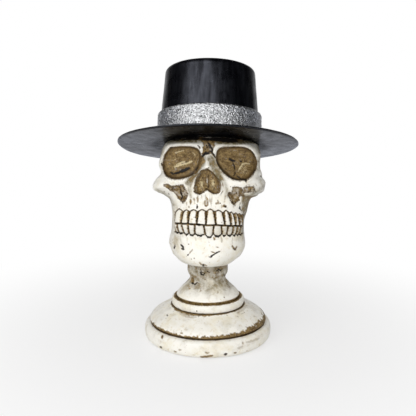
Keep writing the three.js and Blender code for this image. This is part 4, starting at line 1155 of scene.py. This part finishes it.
# Sockets, nose hole, hollows under the cheeks and the glabella: relief in mm
def paintHollows(x, y, world, facing, ragged, paints):
    f = facePlaces
    inside = insideOutlines(x, y)
    relief = np.zeros(x.shape)
    swirl = lumps(np.stack([x * 0.35 + y * 0.6, y * 1.9 - x * 0.5, x * 0], -1), 3, 26)
    mottle = lumps(world, 1.9, 27)
    for name in ("leftSocket", "rightSocket"):
        d = inside[name] + 0.35 * ragged
        lay(paints, "wash", facing * (0.9 + 0.08 * swirl + 0.1 * mottle) * lineAmount(-d, 0.2))
        low = smoothStep(*f["socketFoot"], y)
        rim = bump(d - 0.9, 1.5 + 0.8 * low) * (0.42 + 0.06 * low + 0.06 * mottle)
        dark = bump(d - 0.5, 0.8) * 0.75 * smoothStep(0.1, 0.6, lumps(world, 4, 28) + 0.5 * low)
        lay(paints, "ink", facing * np.maximum(rim, dark))
        lay(paints, "ink", facing * 0.3 * smoothStep(1, 3, d) * smoothStep(0.2, 0.7, swirl))
        relief += smoothStep(1, 3, d) * (0.16 * lumps(world, 2.4, 11) + 0.22 * swirl)
    d = inside["noseHole"] + 0.25 * ragged
    lay(paints, "wash", facing * (0.9 + 0.1 * mottle) * lineAmount(-d, 0.2))
    lay(paints, "ink", facing * bump(d - 0.6, 1.2) * (0.38 + 0.05 * mottle))
    lay(paints, "ink", facing * bump(d - 0.4, 0.7) * smoothStep(*f["noseFoot"], y) * (0.6 + 0.4 * ragged))
    # painted highlights: lighter tan in the middle of the nose lobes, brighter shine on the lobes and along
    # the septum
    lobes = np.maximum(mound(x, y, *f["leftLobeLight"]), mound(x, y, *f["rightLobeLight"]))
    lay(paints, "rubAndHighlight", facing * (0.62 + 0.1 * mottle) * lobes * smoothStep(0.5, 2, d))
    shine = np.maximum(mound(x, y, *f["leftShine"]), mound(x, y, *f["rightShine"]))
    column, halfWidth = f["septumShine"]
    shine = np.maximum(shine, 0.45 * bump(x - column, halfWidth) * between(y, *f["septumShineSpan"]))
    lay(paints, "rubAndHighlight", facing * 0.95 * shine * smoothStep(0.5, 1.5, d))
    crust = lumps(world, 1.3, 13)
    for name in ("leftHollow", "rightHollow"):
        d = inside[name] + 1.3 * ragged
        lay(paints, "wash", facing * (0.8 + 0.2 * mottle) * lineAmount(-d, 0.1))
        lay(paints, "ink", facing * (0.4 * bump(d - 0.5, 1.0)
                                     + 0.6 * smoothStep(0.5, 1.5, d) * smoothStep(0.3, 0.75, crust)))
        relief += 0.45 * smoothStep(0, 1.5, d) * crust
    d = inside["glabella"] + 1.1 * ragged
    lay(paints, "wash", facing * (0.85 + 0.2 * mottle) * lineAmount(-d, 0.2))
    crust = lumps(world, 1.4, 15)
    lay(paints, "ink", facing * 0.6 * smoothStep(0, 1, d) * smoothStep(0.0, 0.6, crust))
    return relief + 0.35 * smoothStep(0, 1.5, d) * crust


# Painted shadow of the hat on the brow, tan wash streaks over the teeth, and painted shade on the sides of
# the jaw and on the lower teeth
def paintShadeAndStreaks(x, y, world, facing, seen, ragged, paints):
    f = facePlaces
    # painted shadow of the hat: black and brown over the brow, up to the brim
    dipAt, dipWidth = f["browDip"]
    fromBrow = y - (f["browLevel"] + 1.9 * bump(x - dipAt, dipWidth))
    onFace = y > f["hatLevel"]
    under = (1 - smoothStep(-1.0, 1.2, fromBrow + 0.8 * ragged)) * onFace
    lay(paints, "wash", facing * 0.9 * under)
    lay(paints, "ink", facing * under * smoothStep(-0.9, -0.1, lumps(world, 4, 29)))
    # painted shade on the brow under the hat, fading downwards, deeper to the right
    film = (1.1 + 0.5 * smoothStep(*f["hatShade"], x)) * (1 - smoothStep(0.5, 5.2, fromBrow))
    paints["shadeAndMottle"] += facing * film * onFace
    streaks = lumps(np.stack([x / 1.3, y / 6, x * 0], -1), 1, 33)
    overTeeth = between(y, *f["overTeethDown"]) * between(x, *f["overTeethAcross"])
    lay(paints, "wash", facing * overTeeth * 0.6 * smoothStep(-0.1, 0.5, streaks + 0.3 * ragged))
    # painted shade on both sides of the jaw, most on the right
    rightSide = smoothStep(*f["jawRight"], x) * between(y, *f["jawRightSpan"])
    leftSide = smoothStep(*f["jawLeft"], x) * between(y, *f["jawLeftSpan"])
    paints["shadeAndMottle"] += seen * (0.95 * rightSide + 0.35 * leftSide)
    shaded = np.maximum(rightSide, 0.5 * leftSide)
    lay(paints, "wash", seen * (0.45 + 0.4 * ragged + 0.3 * streaks) * shaded)
    # painted shade on the lower teeth, darker towards the right
    onTeeth = between(y, *f["lowerRow"]) * smoothStep(*f["lowerRowFrom"], x)
    paints["shadeAndMottle"] += facing * onTeeth * (0.2 + 0.2 * smoothStep(*f["lowerRowDarker"], x))
    # painted shade low on both sides of the jaw
    jawSideShade = mound(x, y, *f["leftJawShade"]) * 0.34 + mound(x, y, *f["rightJawShade"]) * 0.3
    paints["shadeAndMottle"] += facing * 0.8 * jawSideShade
    lay(paints, "wash", facing * (jawSideShade + 0.3 * ragged * (jawSideShade > 0.05)))


# Relief in mm and the paints. Painted shade lies on all that the camera sees, the other marks on what faces
# forward
def paintSkull(grid, normals):
    world = headToWorld(grid)
    x, y = toPhoto(world)
    facing = smoothStep(0.02, 0.3, -normals[..., 1])
    seen = smoothStep(-0.12, 0.12, -normals[..., 1])
    ragged = strayed(world)
    paints = {kind: np.zeros(x.shape) for kind in paintKinds}
    relief, mouthGap = paintMouth(x, y, facing, paints)
    relief += paintHollows(x, y, world, facing, ragged, paints)
    paintShadeAndStreaks(x, y, world, facing, seen, ragged, paints)
    shadeMarks = [mark for mark in skullMarks.values() if mark[0] == "shadeAndMottle"]
    strokePaint(x, y, facing, [mark for mark in skullMarks.values() if mark[0] != "shadeAndMottle"], paints, ragged)
    strokePaint(x, y, seen, shadeMarks, paints, ragged)
    relief += facing * (0.35 * paints["rubAndHighlight"] - 0.4 * np.minimum(paints["ink"], 1) * (mouthGap > 1.5))
    relief += lumps(world, 7, 16) * 0.14 + lumps(world, 2.4, 17) * 0.08 + lumps(world, 0.9, 18) * 0.03
    return relief, paints


# The wash stays in every hollow and lies thin over all; painted shade, cloudy, darkens the sides and the back
# that turn from the camera
def paintLeftovers(grid, world, normals, sideWash, paints):
    hollow = ((softened(grid, 22) - grid) * normals).sum(-1)
    lay(paints, "wash", 0.75 * smoothStep(0.12, 0.55, hollow + 0.1 * lumps(world, 3, 19)))
    lay(paints, "wash", sideWash)
    # painted shade where the head turns from the camera
    away = 1 - smoothStep(0.0, 0.5, -normals[..., 1])
    paints["shadeAndMottle"] += 0.42 * away * smoothStep(-0.1, 0.8, lumps(world, 9, 22) + 0.3 * strayed(world))
    paints["wash"] += 0.3 * away * smoothStep(0.15, 0.8, lumps(world, 6, 20))
    paints["wash"] += 0.12 * smoothStep(0.3, 0.8, lumps(world, 3.5, 21))


# What the head keeps clear of round the neck and the rod
def neckKeepOut():
    s, p = skull, pedestal
    collar, top = p["collarRadius"] + s["neckGap"], p["neckTop"] + s["neckGap"]
    points = [(nearAxis, s["neckFloor"]), (collar, s["neckFloor"]), (collar, p["collarLevel"])]
    curved(points, (collar, p["neckTop"]), (p["neckRadius"] + s["neckGap"], top))
    straight(points, (p["rodHoleRadius"], top))
    straight(points, (p["rodHoleRadius"], s["rodHoleRoof"]))
    straight(points, (nearAxis, s["rodHoleRoof"]))
    return points


def makeSkull():
    s = skull
    deselectAll()
    bpy.ops.mesh.primitive_uv_sphere_add(segments=s["columns"], ring_count=s["rings"], radius=1)
    piece = bpy.context.object
    piece.name = piece.data.name = "skull_visual"
    unit = readPoints(piece) * mm
    ring = np.rint(np.arccos(np.clip(unit[:, 2], -1, 1)) / math.pi * s["rings"]).astype(int)
    column = np.rint(np.arctan2(unit[:, 1], unit[:, 0]) / (2 * math.pi) * s["columns"]).astype(int)
    column %= s["columns"]

    grid, sideWash = headGrid()
    print("skull shaped")
    world, normals = headToWorld(grid), gridNormals(softened(grid, 2))
    relief, paints = paintSkull(grid, normals)
    grid = grid + normals * relief[..., None]
    paintLeftovers(grid, world, normals, sideWash, paints)
    flat, flatNormals = grid.reshape(-1, 3), normals.reshape(-1, 3)
    flatPaints = {kind: values.reshape(-1) for kind, values in paints.items()}
    lowest, highest = skullPits["levels"]
    pitted = np.flatnonzero((flat[:, 2] > lowest) & (flat[:, 2] < highest))
    seeds = np.random.default_rng(skullPits["seed"])
    for deep in castingPits(flat, pitted, skullPits, seeds):
        flat -= flatNormals * (deep * skullPits["depth"])[:, None]
        lay(flatPaints, "wash", deep * seeds.uniform(0.3, 0.95))
        lay(flatPaints, "ink", deep * max(seeds.uniform(-1.2, 0.8), 0))

    # rows of the grid to vertices of the sphere, its two poles last
    placed = np.empty((len(unit), 3))
    body = (ring > 0) & (ring < s["rings"])
    index = (ring[body] - 1) * s["columns"] + column[body]
    placed[body] = flat[index]
    placed[ring == 0] = flat[:s["columns"]].mean(0) + [0, 0, s["crownRise"]]
    placed[ring == s["rings"]] = flat[-s["columns"]:].mean(0) - [0, 0, s["chinFall"]]
    writePoints(piece, headToWorld(placed))
    for name, values in flatPaints.items():
        full = np.zeros(len(unit))
        full[body] = values[index]
        paint(piece, name, full)
    print("skull painted")

    cutAway(piece, "hatRoom", hatKeepOut(), hatToWorld)
    cutAway(piece, "neckRoom", neckKeepOut())
    selectOnly(piece)
    bpy.ops.object.shade_smooth_by_angle(angle=math.radians(s["smoothAngle"]))
    finishPiece(piece, resin, "skull")


# Hat, sizes in mm from the level of its brim. The cast brim is warped by under a degree
hat = {"rimRadius": 72.6, "brimHalf": 1.7, "edgeHalf": 1.1, "edge": 2.2, "baseRadius": 41.097,
       "topRadius": 36.797, "height": 60.582, "round": 4.2, "wall": 4.5, "roof": 5.0, "steps": 300,
       "startRadius": 0.5, "spacing": 0.95, "worn": 0.3, "seatGap": 0.3, "sink": 0.15,
       "brimWarp": 0.013, "brimShift": 1.0, "brimDrop": 0.35, "brimFrom": (41, 44), "warpFrom": (44, 62),
       "warpBehind": (-25, 45), "shadeRound": (44, 58), "shadeFront": (-40, -56), "shadeAcross": 55,
       "shownFrom": 38, "crownBrush": (5.5, 5.5, 38), "brimBrush": (2.6, 1.5),
       "underBrush": (40, 8.5, 40), "underShift": (7, 3, 0)}
band = {"bottom": 2.0, "top": 24.0, "gap": 0.3, "thickness": 0.8, "round": 2.0, "steps": 700, "grain": 0.9,
        "sink": 0.25}
feltPad = {"radius": 41.5, "height": 1.5, "round": 0.5, "startRadius": 0.5, "middleRadius": 20,
           "fuzzFrom": (39.5, 40.9), "fuzz": 0.12, "steps": 240}


def hatInside(points, gap):
    h = hat
    roof = h["height"] - h["roof"] - gap
    straight(points, (h["baseRadius"] - h["wall"] - gap, -h["brimHalf"] - gap))
    straight(points, (h["topRadius"] - h["wall"] - gap, roof - h["round"] / 2))
    straight(points, (h["topRadius"] - h["round"], roof))
    straight(points, (nearAxis, roof))


# What the head keeps clear of in the hat and over it
def hatKeepOut():
    h = hat
    beyond = h["rimRadius"] + 2
    points = [(nearAxis, h["height"]), (beyond, h["height"]), (beyond, 0)]
    straight(points, (h["rimRadius"] - h["edge"], -h["edgeHalf"] - h["seatGap"]))
    hatInside(points, h["seatGap"])
    return points


def hatOutline():
    h = hat
    rim, edge = h["rimRadius"], h["edgeHalf"]
    outside = [(h["startRadius"], h["height"])]
    straight(outside, (h["topRadius"] - h["round"], h["height"]))
    curved(outside, (h["topRadius"], h["height"]), (h["topRadius"], h["height"] - h["round"]), 16)
    straight(outside, (h["baseRadius"], h["brimHalf"]))
    straight(outside, (rim - h["edge"], edge))
    curved(outside, (rim, edge), (rim, 0))
    curved(outside, (rim, -edge), (rim - h["edge"], -edge))
    straight(outside, (h["baseRadius"] - h["wall"] + 0.8, -h["brimHalf"]))
    outline = evened(outside, h["spacing"], h["worn"])
    hatInside(outline, 0)
    return outline


def makeHat():
    h = hat
    piece = turnedPiece("hat_visual", hatOutline(), h["steps"])
    points, normals = readPoints(piece), readNormals(piece)
    angle = np.arctan2(points[:, 1], points[:, 0])
    radius = np.hypot(points[:, 0], points[:, 1])
    onBrim = smoothStep(*h["brimFrom"], radius)[:, None]
    below = normals[:, 2] < -0.5
    # brush lines run up and down the crown, round the brim, and across its underside
    onCrown = points / h["crownBrush"]
    turns, width = h["brimBrush"]
    roundBrim = np.stack([np.cos(angle) * turns, np.sin(angle) * turns, radius / width], 1)
    acrossUnder = points / h["underBrush"] + h["underShift"]
    around = onCrown * (1 - onBrim) + np.where(below[:, None], acrossUnder, roundBrim) * onBrim
    layer = piece.data.attributes.new("around", "FLOAT_VECTOR", "POINT")
    layer.data.foreach_set("vector", around.astype(np.float32).ravel())
    # painted shade under the brim, close to the head and at the front: there the gloss is turned down
    front = smoothStep(*h["shadeFront"], points[:, 1]) * bump(points[:, 0], h["shadeAcross"])
    paint(piece, "brimShade", np.maximum(1 - smoothStep(*h["shadeRound"], radius), front) * below)
    shown = (points[:, 2] > -1) | (radius > h["shownFrom"])
    dents = lumps(points, 17, 31) * 0.14 + lumps(points, 6, 32) * 0.05
    moved = points + normals * (shown * (dents - h["sink"]))[:, None]
    outward = smoothStep(*h["warpFrom"], radius)
    moved[:, 0] -= h["brimShift"] * outward
    warp = h["brimWarp"] * points[:, 0] - h["brimDrop"]
    moved[:, 2] += warp * outward * smoothStep(*h["warpBehind"], points[:, 1])
    writePoints(piece, hatToWorld(moved))
    finishPiece(piece, enamel, "hat")


# Radius of the band's inner face at a level
def bandInner(level):
    lean = (hat["baseRadius"] - hat["topRadius"]) / (hat["height"] - hat["round"] - hat["brimHalf"])
    return hat["baseRadius"] - lean * (level - hat["brimHalf"]) + band["gap"]


def makeBand():
    b = band
    foot, top = (bandInner(b["bottom"]), b["bottom"]), (bandInner(b["top"]), b["top"])
    outer = bandInner(b["bottom"]) + b["thickness"]
    outline = [foot, (outer, b["bottom"])]
    straight(outline, (outer, b["top"] - b["round"]), 50)
    curved(outline, (outer, b["top"]), (outer - b["round"], b["top"]), 8)
    straight(outline, top)
    straight(outline, foot, 3)
    piece = turnedPiece("hat_band_visual", outline, b["steps"])
    points, normals = readPoints(piece), readNormals(piece)
    outside = smoothStep(0.4, 0.9, np.hypot(points[:, 0], points[:, 1]) - bandInner(points[:, 2]))
    grains = lumps(points, b["grain"], 41) * 0.26 + lumps(points, 1.9, 42) * 0.06
    grains += lumps(points, 12, 43) * 0.12
    writePoints(piece, hatToWorld(points + normals * (outside * (grains - b["sink"]))[:, None]))
    finishPiece(piece, silver, "hat_band")


def makeFeltPad():
    f = feltPad
    radius, height, corner = f["radius"], f["height"], f["radius"] - f["round"]
    outline = [(f["startRadius"], 0.0), (f["middleRadius"], 0.0)]
    straight(outline, (corner, 0.0), 12)
    curved(outline, (radius, 0), (radius, f["round"]), 4)
    straight(outline, (radius, height - f["round"]))
    curved(outline, (radius, height), (corner, height), 4)
    straight(outline, (f["startRadius"], height), 6)
    piece = turnedPiece("felt_pad_visual", outline, f["steps"])
    points, normals = readPoints(piece), readNormals(piece)
    edge = smoothStep(*f["fuzzFrom"], np.hypot(points[:, 0], points[:, 1]))
    moved = points + normals * ((lumps(points, 1.2, 51) - 1) * f["fuzz"] * edge)[:, None]
    moved[:, 2] = np.clip(moved[:, 2], 0, height)
    writePoints(piece, moved)
    finishPiece(piece, felt, "felt_pad")


makeSkull()
print("skull made")
makeHat()
makeBand()
makeFeltPad()
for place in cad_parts["neck_rod"].material_slots:
    place.material = steel
print("hat, band and felt made")

# Stage: pale floor, soft lamps
stage = {"floorSize": 8.0, "floor": "#f4f4f4", "room": 0.43}


def makeFloor():
    deselectAll()
    bpy.ops.mesh.primitive_plane_add(size=stage["floorSize"], location=(0, 0, 0))
    floor = bpy.context.object
    floor.name = "floor"
    material, tree = newMaterial("matteFloor")
    place = addNode(tree, "TexCoord").outputs["Object"]
    far = addNode(tree, "VectorMath", {0: place}, operation="LENGTH")
    share = addNode(tree, "MapRange", {"Value": far.outputs["Value"], "From Min": 0.2, "From Max": 0.45},
                    interpolation_type="SMOOTHSTEP")
    beyond = addNode(tree, "MapRange", {"Value": far.outputs["Value"], "From Min": 0.7, "From Max": 1.0,
                                        "To Min": 1.0, "To Max": 0.04}, interpolation_type="SMOOTHSTEP")
    diffuse = addNode(tree, "BsdfDiffuse", {"Color": linear(stage["floor"])})
    seen = addNode(tree, "LightPath")
    strength = addNode(tree, "Mix", {0: seen.outputs["Is Glossy Ray"], 2: 1.0, 3: beyond.outputs["Result"]},
                       data_type="FLOAT")
    tint = addNode(tree, "Mix", {0: seen.outputs["Is Glossy Ray"], 6: linear("#ffffff"),
                                 7: linear("#eaeffd")}, data_type="RGBA")
    white = addNode(tree, "Emission", {"Color": tint.outputs[2], "Strength": strength.outputs[0]})
    near = addNode(tree, "MapRange", {"Value": far.outputs["Value"], "From Min": 0.06, "From Max": 0.32,
                                      "To Min": 0.55, "To Max": 1.0}, interpolation_type="SMOOTHSTEP")
    seenWhite = addNode(tree, "Math", {0: seen.outputs["Is Camera Ray"], 1: near.outputs["Result"]},
                        operation="MULTIPLY")
    reflected = addNode(tree, "Math", {0: seen.outputs["Is Glossy Ray"], 1: share.outputs["Result"]},
                        operation="MULTIPLY")
    fade = addNode(tree, "Math", {0: seenWhite.outputs[0], 1: reflected.outputs[0]}, operation="ADD",
                   use_clamp=True)
    mixed = addNode(tree, "MixShader", {0: fade.outputs[0], 1: diffuse.outputs[0], 2: white.outputs[0]})
    addNode(tree, "OutputMaterial", {"Surface": mixed.outputs[0]})
    floor.data.materials.append(material)


# White backdrop for the camera and for reflections, a dimmer room for what lights the object
def makeRoom():
    world = bpy.data.worlds.new("room")
    world.use_nodes = True
    tree = world.node_tree
    tree.nodes.clear()
    seen = addNode(tree, "LightPath")
    direction = addNode(tree, "TexCoord").outputs["Generated"]
    parts = addNode(tree, "SeparateXYZ", {0: direction})
    behind = addNode(tree, "MapRange", {"Value": parts.outputs["Y"], "From Min": 0.6, "From Max": 0.98,
                                        "To Min": 0.02, "To Max": 0.8}, interpolation_type="SMOOTHSTEP")
    high = addNode(tree, "MapRange", {"Value": parts.outputs["Z"], "From Min": 0.35, "From Max": 0.9,
                                      "To Min": 1.0, "To Max": 0.35}, interpolation_type="SMOOTHSTEP")
    glossy = addNode(tree, "Math", {0: behind.outputs["Result"], 1: high.outputs["Result"]},
                     operation="MULTIPLY")
    level = addNode(tree, "Mix", {0: seen.outputs["Is Glossy Ray"], 2: stage["room"], 3: glossy.outputs[0]},
                    data_type="FLOAT")
    shown = addNode(tree, "Math", {0: seen.outputs["Is Camera Ray"], 1: seen.outputs["Is Transmission Ray"]},
                    operation="ADD", use_clamp=True)
    strength = addNode(tree, "Mix", {0: shown.outputs[0], 2: level.outputs[0], 3: 1.0}, data_type="FLOAT")
    light = addNode(tree, "Background", {"Color": (1, 1, 1, 1), "Strength": strength.outputs[0]})
    addNode(tree, "OutputWorld", {"Surface": light.outputs[0]})
    bpy.context.scene.world = world


# Place and aim in metres, size in metres, power in watts
lamps = {"softbox": ((-0.3, -1.0, 0.5), (0, 0, 0.13), (1.6, 0.45), 6.0),
         "high": ((-0.4, -1.0, 1.02), (0, 0, 0.17), (2.5, 0.42), 6.8),
         "fill": ((0.95, -0.8, 0.3), (0, 0, 0.1), (0.7, 0.7), 0.6)}


def makeLamps():
    for name, (place, aim, size, power) in lamps.items():
        data = bpy.data.lights.new(name, "AREA")
        data.shape, data.size, data.size_y, data.energy = "RECTANGLE", size[0], size[1], power
        lamp = bpy.data.objects.new(name, data)
        bpy.context.collection.objects.link(lamp)
        lamp.location = place
        lamp.rotation_euler = (Vector(aim) - Vector(place)).to_track_quat("-Z", "Y").to_euler()


makeFloor()
makeRoom()
makeLamps()
bpy.context.scene.view_settings.view_transform = "Standard"
print("stage made")
